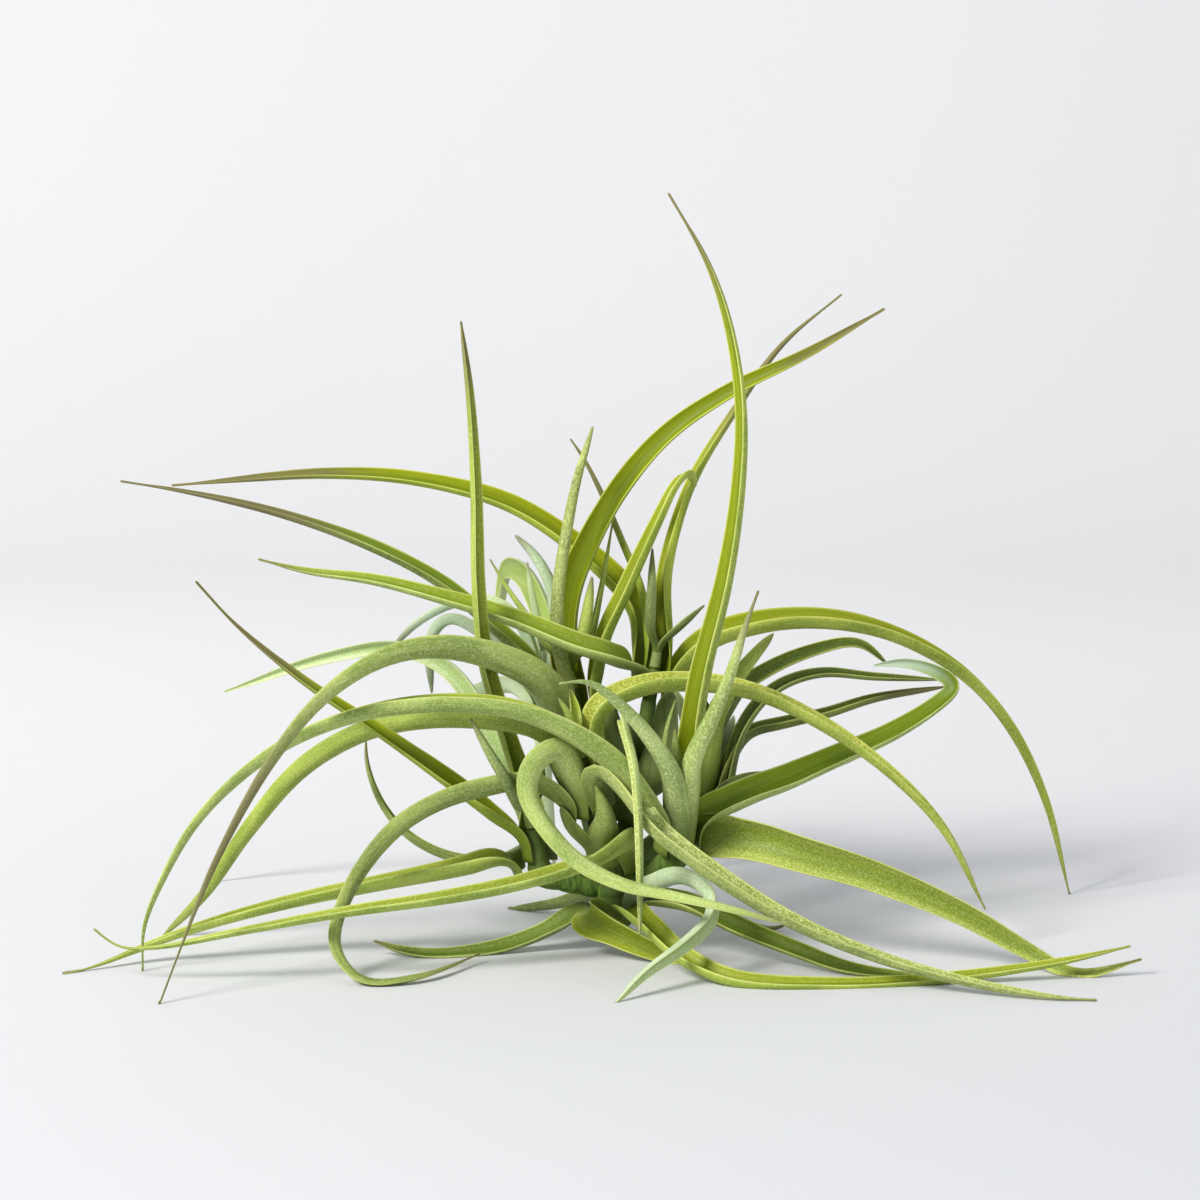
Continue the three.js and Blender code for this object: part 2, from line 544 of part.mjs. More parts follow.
// A folded blade: a channel that starts as a sheath round its branch and narrows to its tip.
// With room it is that much larger all round, which is the space that its neighbours leave it.
function leafSolid(leaf, room = 0) {
  const { line, radius, outward } = leafLine(leaf);
  const { reach, ahead, inner } = follow(line, outward, leaf.roll ?? 0);
  const total = reach.at(-1);
  const rings = ringPlaces(reach, ahead).map((i) => {
    const open = THREE.MathUtils.smoothstep(reach[i], 0, OPENING);
    const share = Math.max(0, (reach[i] - SHEATH) / (total - SHEATH));
    const width = Math.max(TIP_WIDTH, leaf.width * (1 - share) ** leaf.taper);
    const clasp = Math.min(CLASP, (CLASP_SHARE * leaf.width) / radius);
    const fold = THREE.MathUtils.lerp(clasp, FOLD, open);
    const round = THREE.MathUtils.lerp(radius, width / 2, open);
    const half = THREE.MathUtils.lerp(BLADE, MARGIN, share) / 2 + room;
    const side = ahead[i].clone().cross(inner[i]);
    // The route runs through the middle of the channel's height
    const lowered = (round * (1 - Math.cos(fold)) * open) / 2;
    const centre = line[i].clone().addScaledVector(inner[i], round - lowered);
    if (i === 0) centre.addScaledVector(ahead[i], -room);
    // A blade that reaches the surface lies flat on it, at its full thickness
    const place = (angle, far, lowest) => {
      const point = centre.clone()
        .addScaledVector(inner[i], -far * Math.cos(angle))
        .addScaledVector(side, far * Math.sin(angle));
      if (room === 0) point.z = Math.max(point.z, lowest);
      return point;
    };
    const wide = fold + room / round;
    const outerFace = SPREAD.map((s) => place(s * wide, round + half, 0));
    const innerFace = SPREAD.map((s) => place(-s * wide, Math.max(round - half, TIGHTEST), MARGIN));
    return [...outerFace, ...innerFace];
  });
  const rootFaces = [0, 1, 2].flatMap((j) => [[j, j + 1, 6 - j], [j, 6 - j, 7 - j]]);
  const tip = line.at(-1).clone().addScaledVector(ahead.at(-1), room);
  if (room === 0) tip.z = Math.max(tip.z, 0);
  return skin(rings, rootFaces, tip);
}

// A round stem from its foot to a blunt end
function stemSolid(foot, top, radii, room = 0) {
  const along = top.clone().sub(foot).normalize();
  const right = new THREE.Vector3(1, 0, 0).projectOnPlane(along).normalize();
  const back = along.clone().cross(right);
  const rings = radii.map((radius, i) => Array.from({ length: STEM_SIDES }, (_, j) => {
    const angle = (-2 * Math.PI * j) / STEM_SIDES;
    return foot.clone()
      .lerp(top, i / (radii.length - 1))
      .addScaledVector(right, (radius + room) * Math.cos(angle))
      .addScaledVector(back, (radius + room) * Math.sin(angle));
  }));
  const rootFaces = Array.from({ length: STEM_SIDES - 2 }, (_, j) => [0, j + 1, j + 2]);
  const tip = top.clone().addScaledVector(along, CLEAR + room);
  return skin(rings, rootFaces, tip);
}

function joined(bodies) {
  return bodies.reduce((whole, body) => whole.add(body));
}

// All branches are one woody stem
function stem(room) {
  return joined(Object.values(BRANCHES).flatMap((branch) => {
    const { foot, top } = branchLine(branch);
    const upper = stemSolid(foot, top, [branchRadius(branch, 0), branchRadius(branch, 1)], room);
    if (!branch.neck) return [upper];
    const lower = stemSolid(seen(branch.foot), foot, [STEM_FOOT, STEM_FOOT], room);
    return [lower, upper];
  }));
}

// The young leaves of a rosette round its growing point, just above the end of their branch
function heart({ branch, young }) {
  const { top, length, along } = branchLine(BRANCHES[branch]);
  const bottom = top.clone().addScaledVector(along, 2 * CLEAR);
  const end = bottom.clone().addScaledVector(along, HEART);
  const point = stemSolid(bottom, end, [STEM_TOP, STEM_TOP / 2]);
  const leaves = young.map((leaf) => leafSolid({
    branch, ring: 0, radius: STEM_TOP / 2, lift: length + 3 * CLEAR, taper: YOUNG_TAPER, ...leaf,
  }));
  return joined([point, ...leaves]);
}

function touches(one, other) {
  const [a, b] = [one.boundingBox(), other.boundingBox()];
  return [0, 1, 2].every((k) => a.min[k] < b.max[k] && b.min[k] < a.max[k]);
}

// A body with the room of its neighbours taken off, less any crumb that this cuts free
function clearOf(body, rooms) {
  let kept = body;
  for (const room of rooms) {
    if (!touches(kept, room)) continue;
    const pieces = kept.subtract(room).decompose();
    kept = pieces.reduce((most, piece) => (piece.volume() > most.volume() ? piece : most));
  }
  return kept;
}

function meshOf(name, body, tone) {
  const { vertProperties, triVerts } = body.getMesh();
  const geometry = new THREE.BufferGeometry();
  geometry.setAttribute('position', new THREE.BufferAttribute(vertProperties, 3));
  geometry.setIndex(new THREE.BufferAttribute(triVerts, 1));
  geometry.translate(-MIDDLE.x, -MIDDLE.y, 0);
  const material = new THREE.MeshStandardMaterial({ color: TONES[tone], roughness: 0.6, metalness: 0 });
  const mesh = new THREE.Mesh(geometry, material);
  mesh.name = name;
  return mesh;
}

const plant = new THREE.Group();
const rooms = [stem(CLEAR)];
plant.add(meshOf('branching_stem', stem(0), 'woody'));
for (const leaf of LEAVES) {
  plant.add(meshOf(leaf.name, clearOf(leafSolid(leaf), rooms), leaf.tone));
  rooms.push(leafSolid(leaf, CLEAR).add(leafSolid(leaf)));
}
for (const rosette of HEARTS) plant.add(meshOf(rosette.name, clearOf(heart(rosette), rooms), rosette.tone));

export default plant;
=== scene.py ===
"""An inca gold air plant in Blender: finer leaves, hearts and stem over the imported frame.

Units are metres in the frame; the leaf lists are in millimetres as seen from the front.
"""

import math

import bpy
import numpy as np
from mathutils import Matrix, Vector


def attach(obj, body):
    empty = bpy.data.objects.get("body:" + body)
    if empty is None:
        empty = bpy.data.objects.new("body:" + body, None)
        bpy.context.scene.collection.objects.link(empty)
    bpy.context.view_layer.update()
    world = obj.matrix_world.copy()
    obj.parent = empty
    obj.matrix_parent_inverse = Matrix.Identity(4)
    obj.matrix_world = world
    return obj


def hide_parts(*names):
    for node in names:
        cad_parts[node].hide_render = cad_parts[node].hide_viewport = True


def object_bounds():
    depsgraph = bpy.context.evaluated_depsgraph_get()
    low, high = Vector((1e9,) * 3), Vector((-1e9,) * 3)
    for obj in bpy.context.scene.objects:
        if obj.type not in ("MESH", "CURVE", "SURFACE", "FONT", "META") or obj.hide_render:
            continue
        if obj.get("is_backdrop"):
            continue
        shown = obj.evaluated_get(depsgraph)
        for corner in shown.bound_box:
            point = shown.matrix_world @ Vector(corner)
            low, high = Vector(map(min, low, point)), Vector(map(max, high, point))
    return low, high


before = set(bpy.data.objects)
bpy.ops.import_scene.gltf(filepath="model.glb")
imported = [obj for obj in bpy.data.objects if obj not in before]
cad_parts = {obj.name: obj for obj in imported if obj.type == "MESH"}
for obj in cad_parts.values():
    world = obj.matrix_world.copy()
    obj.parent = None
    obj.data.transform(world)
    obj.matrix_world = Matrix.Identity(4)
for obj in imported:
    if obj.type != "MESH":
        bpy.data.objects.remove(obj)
cad_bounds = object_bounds()
scene = bpy.context.scene


# The camera stands a little above the top of the plant, three plant widths away, and looks
# down on it by 9 degrees through a long lens, as in the photograph.
view_tilt = math.radians(9)
view_distance = 733.3
view_aim = 75.9  # over the origin of the leaf lists
middle = np.array([0.2, 14.0, 0.0])  # the frame's origin in the leaf lists
view_right = np.array([1.0, 0.0, 0.0])
view_up = np.array([0.0, math.sin(view_tilt), math.cos(view_tilt)])
view_back = np.array([0.0, -math.cos(view_tilt), math.sin(view_tilt)])
eye = view_aim * view_up + view_distance * view_back

camera = bpy.data.objects.new("camera", bpy.data.cameras.new("camera"))
camera.data.lens = 100
camera.data.sensor_width = 36
camera.data.clip_end = 20
camera.location = (eye - middle) / 1000
camera.rotation_euler = (math.pi / 2 - view_tilt, 0, 0)
scene.collection.objects.link(camera)
scene.camera = camera


# The plant lies on a pale painted board that sweeps up behind it into a wall, in soft
# daylight from a large window at the upper left and a weak fill from the right.
def sweep(width, near, far, rise, radius, steps=24):
    """A floor from near to far, a quarter circle of the radius, and a wall of the height rise."""
    turn = np.linspace(0, math.pi / 2, steps)
    y = np.concatenate([[near], far + radius * np.sin(turn), [far + radius]])
    z = np.concatenate([[0], radius * (1 - np.cos(turn)), [rise]])
    left = np.column_stack([np.full(len(y), -width / 2), y, z])
    right = left * (-1, 1, 1)
    points = np.concatenate([left, right])
    i = np.arange(len(y) - 1)
    faces = np.column_stack([i, i + len(y), i + 1 + len(y), i + 1])
    return points, faces


class Wire:
    """A socket of a shader node, with the arithmetic of nodes."""

    def __init__(self, tree, socket):
        self.tree, self.socket = tree, socket

    def node(self, kind, settings=None, **inputs):
        """Any node of this tree: its type, its settings and what its inputs take."""
        made = self.tree.nodes.new(kind)
        for key, value in (settings or {}).items():
            setattr(made, key, value)
        for key, value in inputs.items():
            at = made.inputs[int(key[1:])] if key[1:].isdigit() else made.inputs[key.replace("_", " ")]
            if isinstance(value, Wire):
                self.tree.links.new(value.socket, at)
            else:
                at.default_value = value
        return made

    def wire(self, kind, settings=None, out=0, **inputs):
        """The output out of such a node."""
        return Wire(self.tree, self.node(kind, settings, **inputs).outputs[out])

    def math(self, operation, *values):
        places = {f"i{k}": v for k, v in enumerate(values)}
        return self.wire("ShaderNodeMath", {"operation": operation}, **places)

    def __add__(self, other):
        return self.math("ADD", self, other)

    def __radd__(self, other):
        return self.math("ADD", other, self)

    def __sub__(self, other):
        return self.math("SUBTRACT", self, other)

    def __rsub__(self, other):
        return self.math("SUBTRACT", other, self)

    def __mul__(self, other):
        return self.math("MULTIPLY", self, other)

    def __rmul__(self, other):
        return self.math("MULTIPLY", other, self)

    def __abs__(self):
        return self.math("ABSOLUTE", self)

    def step(self, low, high, to_low=0.0, to_high=1.0):
        """Smoothly from to_low at low to to_high at high."""
        settings = {"interpolation_type": "SMOOTHSTEP"}
        places = dict(i1=low, i2=high, i3=to_low, i4=to_high)
        return self.wire("ShaderNodeMapRange", settings, i0=self, **places)

    def mix(self, first, second):
        """The colour first where this is 0, and second where it is 1."""
        settings = {"data_type": "RGBA", "clamp_factor": True}
        return self.wire("ShaderNodeMix", settings, out=2, i0=self, i6=first, i7=second)

    def stretched(self, x, y, z):
        """This place with its axes scaled."""
        return self.wire("ShaderNodeVectorMath", {"operation": "MULTIPLY"}, i0=self, i1=(x, y, z))

    def noise(self, detail=2.0, scale=1.0, roughness=0.5):
        places = dict(Vector=self, Scale=scale, Detail=detail, Roughness=roughness)
        return self.wire("ShaderNodeTexNoise", None, **places)

    def attribute(self, name, out=2):
        return self.wire("ShaderNodeAttribute", {"attribute_name": name}, out=out)


def shader(name, **settings):
    """A material with one principled shader, and a wire to build its inputs from."""
    material = bpy.data.materials.new(name)
    material.use_nodes = True
    principled = material.node_tree.nodes["Principled BSDF"]
    for key, value in settings.items():
        principled.inputs[key.replace("_", " ")].default_value = value
    return material, principled, Wire(material.node_tree, None)


def feed(wire, principled, name):
    wire.tree.links.new(wire.socket, principled.inputs[name])


def rgb(code):
    """A colour of six hex digits as linear red, green, blue and alpha."""
    value = np.array([int(code[k : k + 2], 16) for k in (0, 2, 4)]) / 255
    linear = np.where(value <= 0.04045, value / 12.92, ((value + 0.055) / 1.055) ** 2.4)
    return (*linear.tolist(), 1.0)


def mesh_object(name, points, faces, **attributes):
    """A smooth mesh of the points in metres, with a value or a vector of each attribute at each."""
    mesh = bpy.data.meshes.new(name)
    mesh.from_pydata(points.tolist(), [], [face for block in faces for face in block.tolist()])
    for key, values in attributes.items():
        kind, field = ("FLOAT_VECTOR", "vector") if values.ndim == 2 else ("FLOAT", "value")
        made = mesh.attributes.new(key, kind, "POINT")
        made.data.foreach_set(field, values.astype(np.float32).ravel())
    mesh.polygons.foreach_set("use_smooth", np.full(len(mesh.polygons), True))
    piece = bpy.data.objects.new(name, mesh)
    scene.collection.objects.link(piece)
    return piece


points, faces = sweep(width=6.0, near=-3.0, far=0.55, rise=3.0, radius=0.5)
board = mesh_object("board", points, [faces])
paint, principled, start = shader("pale_paint", Roughness=0.8, Specular_IOR_Level=0.2)
place = start.wire("ShaderNodeTexCoord", out=3)
cloud = place.noise(scale=1.5)
depth = place.wire("ShaderNodeSeparateXYZ", out=1, i0=place)
wall_paint = cloud.step(0.3, 0.7).mix(rgb("ececee"), rgb("efeff1"))
# The floor is painted darker than the wall, fading up from the front: painted shade that evens out the
# window's stronger light on the floor
feed(depth.step(-0.2, 0.4).mix(rgb("d1d3d7"), wall_paint), principled, "Base Color")
board.data.materials.append(paint)
board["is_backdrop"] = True


def window(name, place, aim, size, energy, colour):
    """A square area light of the size at a place, turned to shine at its aim."""
    lamp = bpy.data.lights.new(name, "AREA")
    lamp.size, lamp.energy, lamp.color = size, energy, colour
    stand = bpy.data.objects.new(name, lamp)
    stand.location = place
    down = np.array(aim) - np.array(place)
    flat = math.hypot(down[0], down[1])
    stand.rotation_euler = (math.atan2(flat, -down[2]), 0, math.atan2(down[1], down[0]) - math.pi / 2)
    scene.collection.objects.link(stand)


heart_of_plant = (0, 0, 0.06)
window("window", (-0.85, -0.8, 0.95), heart_of_plant, size=0.42, energy=23.5, colour=(1.0, 0.97, 0.92))
window("fill", (1.1, -0.9, 0.6), heart_of_plant, size=1.0, energy=3, colour=(0.92, 0.96, 1.0))
world = bpy.data.worlds.new("daylight")
world.use_nodes = True
sky = world.node_tree.nodes["Background"]
sky.inputs["Color"].default_value = (0.93, 0.96, 1.0, 1.0)
sky.inputs["Strength"].default_value = 0.5
scene.world = world
scene.view_settings.view_transform = "Standard"


# The right front rosette: six folded blades in nested sheaths round the first branch.
# Each is a fleshy channel, thin at its margins, that narrows from its sheath to a point.
# Its outer face is grey with silvery scales, and its inner face is a smooth yellow green.
blade_thickness = (0.8, 0.6)  # at its foot and at its tip
thin_margin, tip_width, tip_length = 0.62, 0.45, 0.4
full_width, thinnest = 1.5, 0.35  # a blade narrower than this thins too, to this share
gap = 0.3
fold_angle = 1.65  # half of the open blade's arc
clasp_limit, clasp_share = 1.0, 0.5  # half of the sheath's arc, at most and by its width
sheath_length, opening, twist_length = 5.0, 14.0, 30.0
stem_radii = (2.6, 1.3)  # at the foot and at the top of a branch
ring_spacing, ring_rounds = 1.1, 5
across = np.linspace(-1, 1, 15)
edge_place = 1.08

# How long each slow change along a blade is, and how large
sway, sway_reach = (28, math.radians(5)), (10, 40)
swelling = (12, 0.03)
folding = (22, 0.05)
waving = (4, 0.02)


def seen(places):
    """Points at places given as across and up in the view's plane through the origin, and depth.

    Each is moved along its line of sight until it lies at its depth.
    """
    places = np.atleast_2d(np.asarray(places, float))
    plane = places[:, :1] * view_right + places[:, 1:2] * view_up
    share = (places[:, 2] - eye[1]) / (plane[:, 1] - eye[1])
    return eye + (plane - eye) * share[:, None]


def unit(vectors):
    """Each vector divided by its length."""
    return vectors / np.linalg.norm(vectors, axis=-1, keepdims=True)


def smoothstep(value, low, high):
    """From 0 at low to 1 at high, as three times the square of the share less twice its cube."""
    share = np.clip((value - low) / (high - low), 0, 1)
    return share * share * (3 - 2 * share)


def smooth_line(points, steps=16):
    """A centripetal Catmull-Rom curve: cubics with slopes weighed by the roots of the chords."""
    p = np.vstack([2 * points[0] - points[1], points, 2 * points[-1] - points[-2]])
    root = np.sqrt(np.linalg.norm(np.diff(p, axis=0), axis=1))[:, None]
    before, here, after = root[:-2], root[1:-1], root[2:]
    a, b, c, d = p[:-3], p[1:-2], p[2:-1], p[3:]
    slope_b = ((b - a) / before - (c - a) / (before + here)) * here + c - b
    slope_c = ((d - c) / after - (d - b) / (here + after)) * here + c - b
    t = (np.arange(steps) / steps)[None, :, None]
    b, c, slope_b, slope_c = (v[:, None, :] for v in (b, c, slope_b, slope_c))
    line = (2 * t**3 - 3 * t**2 + 1) * b + (t**3 - 2 * t**2 + t) * slope_b
    line = line + (3 * t**2 - 2 * t**3) * c + (t**3 - t**2) * slope_c
    return np.vstack([line.reshape(-1, 3), points[-1]])


def even_line(line, spacing, rounds):
    """The line at even steps, then averaged with its neighbours for a number of rounds, ends kept."""
    reach = np.concatenate([[0], np.cumsum(np.linalg.norm(np.diff(line, axis=0), axis=1))])
    goals = np.linspace(0, reach[-1], max(12, int(reach[-1] / spacing)))
    line = np.column_stack([np.interp(goals, reach, line[:, k]) for k in range(3)])
    for _ in range(rounds):
        line[1:-1] = (line[:-2] + 2 * line[1:-1] + line[2:]) / 4
    return line


def wander(count, change, rng):
    """A smooth random run along the rings: a blend of random knots one length apart."""
    length, size = change
    knots = rng.uniform(-1, 1, max(4, int(count * ring_spacing / length) + 4))
    at = np.arange(count) * ring_spacing / length
    k = np.floor(at).astype(int)
    t = smoothstep(at - k, 0, 1)
    return size * (knots[k] * (1 - t) + knots[k + 1] * t)


def branch_line(branch):
    """Where the straight upper part of a branch starts, where it grows to, and how long it is."""
    foot, top = seen(branch.get("neck", branch["foot"]))[0], seen(branch["top"])[0]
    length = np.linalg.norm(top - foot)
    return foot, (top - foot) / length, length


def blade(branch, leaf, rng):
    """Points, faces and attributes of one folded blade, as a grid of rings along a curve.

    A leaf grows from its branch at its lift, on the side of its turn, outside the sheaths of
    the rings below its own. It follows its route, narrows to its tip by the power taper, and
    turns about its own line by its roll.
    Each ring is an arc of a circle that opens to the inner side. Its outer row is at the full
    radius, its inner row is set in by the blade's thickness, which falls off with the square of
    the place across, and a rounded edge joins the rows on either side.
    """
    foot, along, length = branch_line(branch)
    turn = math.radians(leaf["turn"])
    outward = np.array([math.cos(turn), math.sin(turn), 0.0])
    outward = unit(outward - outward @ along * along)
    stem = branch.get("radius") or np.interp(leaf["lift"] / length, (0, 1), stem_radii)
    thick = blade_thickness[0]
    radius = leaf.get("radius", stem + gap + thick / 2 + leaf["ring"] * (thick + gap))
    root = foot + along * leaf["lift"] + outward * radius
    points = np.vstack([root, root + along * leaf.get("sheath", sheath_length), seen(leaf["route"])])
    line = even_line(smooth_line(points), ring_spacing, ring_rounds)
    ahead = unit(np.gradient(line, axis=0))
    reach = np.concatenate([[0], np.cumsum(np.linalg.norm(np.diff(line, axis=0), axis=1))])
    total, count = reach[-1], len(line)

    # The open side is carried along, at right angles to the line, and rolled a little
    carried = [-outward]
    for direction in ahead:
        carried.append(unit(carried[-1] - carried[-1] @ direction * direction))
    inner = np.array(carried[1:])
    swaying = wander(count, sway, rng) * smoothstep(reach, *sway_reach)
    roll = math.radians(leaf["roll"]) * smoothstep(reach, 0, twist_length) + swaying
    side = np.cross(ahead, inner)
    inner, side = (
        inner * np.cos(roll)[:, None] + side * np.sin(roll)[:, None],
        side * np.cos(roll)[:, None] - inner * np.sin(roll)[:, None],
    )

    # The clasping sheath opens into the folded blade
    opened = smoothstep(reach, 0, opening)
    share = np.clip((reach - sheath_length) / (total - sheath_length), 0, 1)
    width = leaf["width"] * (1 - share) ** leaf["taper"] * (1 + wander(count, swelling, rng))
    width = np.maximum(width, tip_width)
    clasp = min(clasp_limit, clasp_share * leaf["width"] / radius)
    open_fold = fold_angle * (1 + wander(count, folding, rng))
    fold = clasp + (open_fold - clasp) * opened
    arc = radius + (width / 2 - radius) * opened
    half = np.interp(share, (0, 1), blade_thickness) / 2 * np.clip(width / full_width, thinnest, 1)
    lowered = arc * (1 - np.cos(fold)) * opened / 2
    centre = line + inner * (arc - lowered)[:, None]

    thickness = 2 * half[:, None] * (1 - thin_margin * across**2)
    ripple = 1 + wander(count, waving, rng)[:, None] * across**2
    outer_angle = fold[:, None] * across * ripple
    outer_far = np.repeat((arc + half)[:, None], len(across), axis=1)
    inner_far = np.maximum(outer_far - thickness, 0.04)
    edge_angle = fold + 0.5 * thickness[:, -1] / arc
    edge_far = outer_far[:, -1] - thickness[:, -1] / 2
    angle = np.column_stack([outer_angle, edge_angle, outer_angle[:, ::-1], -edge_angle])
    far = np.column_stack([outer_far, edge_far, inner_far[:, ::-1], edge_far])
    ring = centre[:, None] + far[..., None] * (
        np.sin(angle)[..., None] * side[:, None] - np.cos(angle)[..., None] * inner[:, None]
    )
    tip = line[-1] + ahead[-1] * tip_length
    points = np.vstack([ring.reshape(-1, 3), tip])

    # What lies on the surface is flattened on it, with the inner rows above the outer ones
    row, sides = len(across), angle.shape[1]
    lowest = np.where(np.arange(sides) > row, 0.5, 0.0)
    points[:-1, 2] = np.maximum(points[:-1, 2], np.tile(lowest, count))
    points[-1, 2] = max(points[-1, 2], 0.1)

    i, j = np.meshgrid(np.arange(count - 1), np.arange(sides), indexing="ij")
    beside = (j + 1) % sides
    here, ahead_of = i * sides, (i + 1) * sides
    quads = np.stack([here + j, ahead_of + j, ahead_of + beside, here + beside], -1)
    last = (count - 1) * sides + np.arange(sides)
    fan = np.column_stack([last, np.full(sides, count * sides), np.roll(last, -1)])
    k = np.arange(row - 1)
    cap = np.column_stack([k, k + 1, 2 * row - 1 - k, 2 * row - k])
    corners = np.array([[row - 1, row, row + 1], [2 * row, 2 * row + 1, 0]])

    place = np.concatenate([across, [edge_place], across[::-1], [-edge_place]])
    inside = np.concatenate([np.zeros(row), [0.5], np.ones(row), [0.5]])
    long = np.repeat(reach, sides)
    girth = (place * (fold * arc)[:, None]).ravel()
    patch = rng.uniform(0, 90)
    seeds = np.full(count * sides, patch)
    dust = leaf.get("dust", 0.5)
    everywhere = np.ones(count * sides + 1)
    attributes = {
        "across": np.append(np.tile(place, count), 0),
        "inside": np.append(np.tile(inside, count), 0.5),
        "along": np.append(np.repeat(share, sides), 1),
        "reach": np.append(long, total),
        "grain": np.vstack([np.column_stack([girth, long, seeds]), [0, total, patch]]),
        "shade": everywhere * rng.uniform(-1, 1),
        "ripe": everywhere * leaf.get("ripe", 0.86),
        "dust": everywhere * dust,
        "frost": everywhere * leaf.get("frost", dust**2),
        "warm": everywhere * leaf.get("warm", 0.4),
        "fade": everywhere * leaf.get("fade", 0.0),
    }
    return (points - middle) / 1000, [quads.reshape(-1, 4), fan, cap, corners], attributes


def leaf_material(name, outer, deep, inner, scurf):
    """Leaf tissue: two greens streaked by fine veins, under a dust of silvery scales.

    The scales are small flecks, as dense as a leaf's dust on its outer face and as its frost on
    the inner one. The pale line along the edges is partly their own colour and partly a painted
    highlight. The inner face is painted darker in the middle of its fold as shade, and the foot
    of the blade is painted dark olive as shade. From the leaf's ripe share on, the tip dries to
    grey brown, or to a pale green by its fade. Its warm value turns the greens from blueish to
    yellowish.
    """
    material, principled, start = shader(name, Specular_IOR_Level=0.22, Subsurface_Weight=0.1)
    principled.inputs["Subsurface Radius"].default_value = (1.0, 1.2, 0.3)
    principled.inputs["Subsurface Scale"].default_value = 0.0010
    grain = start.attribute("grain", out=1)
    place, inside = start.attribute("across"), start.attribute("inside")
    along, reach = start.attribute("along"), start.attribute("reach")
    shade, ripe = start.attribute("shade"), start.attribute("ripe")
    dust, warm = start.attribute("dust"), start.attribute("warm")

    # The grain runs in millimetres round and along the blade
    veins = grain.stretched(3.4, 0.06, 1).noise(detail=3, roughness=0.65)
    patches = grain.stretched(0.3, 0.07, 1).noise(detail=2)
    flecks = grain.stretched(3.3, 1.7, 1).noise(detail=3, roughness=0.75)
    cells = grain.stretched(1.9, 1.1, 1)
    dots = cells.wire("ShaderNodeTexVoronoi", {"feature": "F1"}, Vector=cells, Scale=1.0)
    fleck = flecks.step(0.48, 0.6) * 0.65 + dots.step(0.12, 0.42, 1.0, 0.0) * 0.35

    depth = (veins * 0.5 + patches * 0.5 + shade * 0.06).step(0.36, 0.64)
    tissue = depth.mix(rgb(deep), rgb(outer))
    flank = abs(place).step(0.15, 0.95)
    coat = (fleck * 0.55 + 0.16 + patches.step(0.35, 0.7) * 0.16) * (0.3 + dust) * (1.1 - flank * 0.35)
    coat = coat.math("MINIMUM", coat, 1.0)
    outside = (coat * 0.85).mix(tissue, rgb(scurf))

    # The inner face is painted darker in the middle of its fold, as shade in the channel, and the face
    # changes over the rounded edge
    lining = (flank * 0.65 + veins.step(0.3, 0.7) * 0.35).mix(rgb(inner[0]), rgb(inner[1]))
    frost = (fleck * 1.1 + 0.2) * flank.step(0.1, 0.85, 0.35, 1.0) * start.attribute("frost")
    lining = frost.math("MINIMUM", frost, 0.85).mix(lining, rgb(scurf))
    face = inside.step(0.35, 0.65).mix(outside, lining)

    # The pale line along both edges is partly their own pale colour and partly a painted highlight on
    # the rounded edge
    margin_and_highlight = abs(place).step(0.92, 1.04) * (0.1 + 0.75 * patches)
    face = margin_and_highlight.mix(face, rgb("e2e8a6"))
    # The foot of each blade is painted dark olive with flecks: painted shade where the lower sheaths
    # and the stem hide it
    sheath = reach.step(0.0, 14.0, 0.85, 0.0) * (0.4 + flecks)
    face = sheath.math("MINIMUM", sheath, 0.85).mix(face, rgb("52641a"))
    tint = warm.mix((0.94, 0.98, 0.96, 1.0), (1.02, 0.98, 0.5, 1.0))
    multiply = {"data_type": "RGBA", "blend_type": "MULTIPLY", "clamp_result": False}
    face = face.wire("ShaderNodeMix", multiply, out=2, i0=1.0, i6=face, i7=tint)

    dry = (along + (patches - 0.5) * 0.3 - ripe).step(-0.08, 0.2)
    husk = start.attribute("fade").mix(rgb("75684f"), rgb("c9dcc8"))
    face = (dry * (0.62 + 0.36 * veins)).mix(face, husk)
    feed(face, principled, "Base Color")

    rough = 0.45 + coat * 0.3 * (1 - inside) + 0.1 * dry
    feed(rough, principled, "Roughness")
    relief = fleck * dust * (1 - inside * 0.7) * 0.6 + veins * 0.9
    bump = relief.node("ShaderNodeBump", None, Strength=0.55, Distance=0.00014, Height=relief)
    material.node_tree.links.new(bump.outputs[0], principled.inputs["Normal"])
    return material


greens = {
    "fresh": leaf_material("fresh", "9cb242", "6f8c1c", ("5f7400", "9dab06"), "e8eeac"),
    "silvery": leaf_material("silvery", "9cb350", "6a8728", ("5c7604", "98ac18"), "e6eec4"),
    "grey": leaf_material("grey", "82954a", "50662a", ("50680e", "7d952a"), "d6e0b2"),
    "pale": leaf_material("pale", "c6d6b4", "a6bb92", ("98b264", "c2d296"), "e8f0e0"),
    # The deep tone is a darker copy of the other greens: painted shade for blades that stand in the
    # shade of the others
    "deep": leaf_material("deep", "76844a", "4c5c2c", ("3a5010", "64781c"), "b0bf90"),
}


def grow(branch, leaves, seed):
    """Every large leaf of a rosette, as a piece that stands for its node of the frame."""
    for number, leaf in enumerate(leaves):
        points, faces, attributes = blade(branch, leaf, np.random.default_rng(seed + number))
        piece = mesh_object(leaf["name"].replace("leaf_", "blade_"), points, faces, **attributes)
        piece.data.materials.append(greens[leaf.get("look", leaf["tone"])])
        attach(piece, "root")
        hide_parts(leaf["name"])


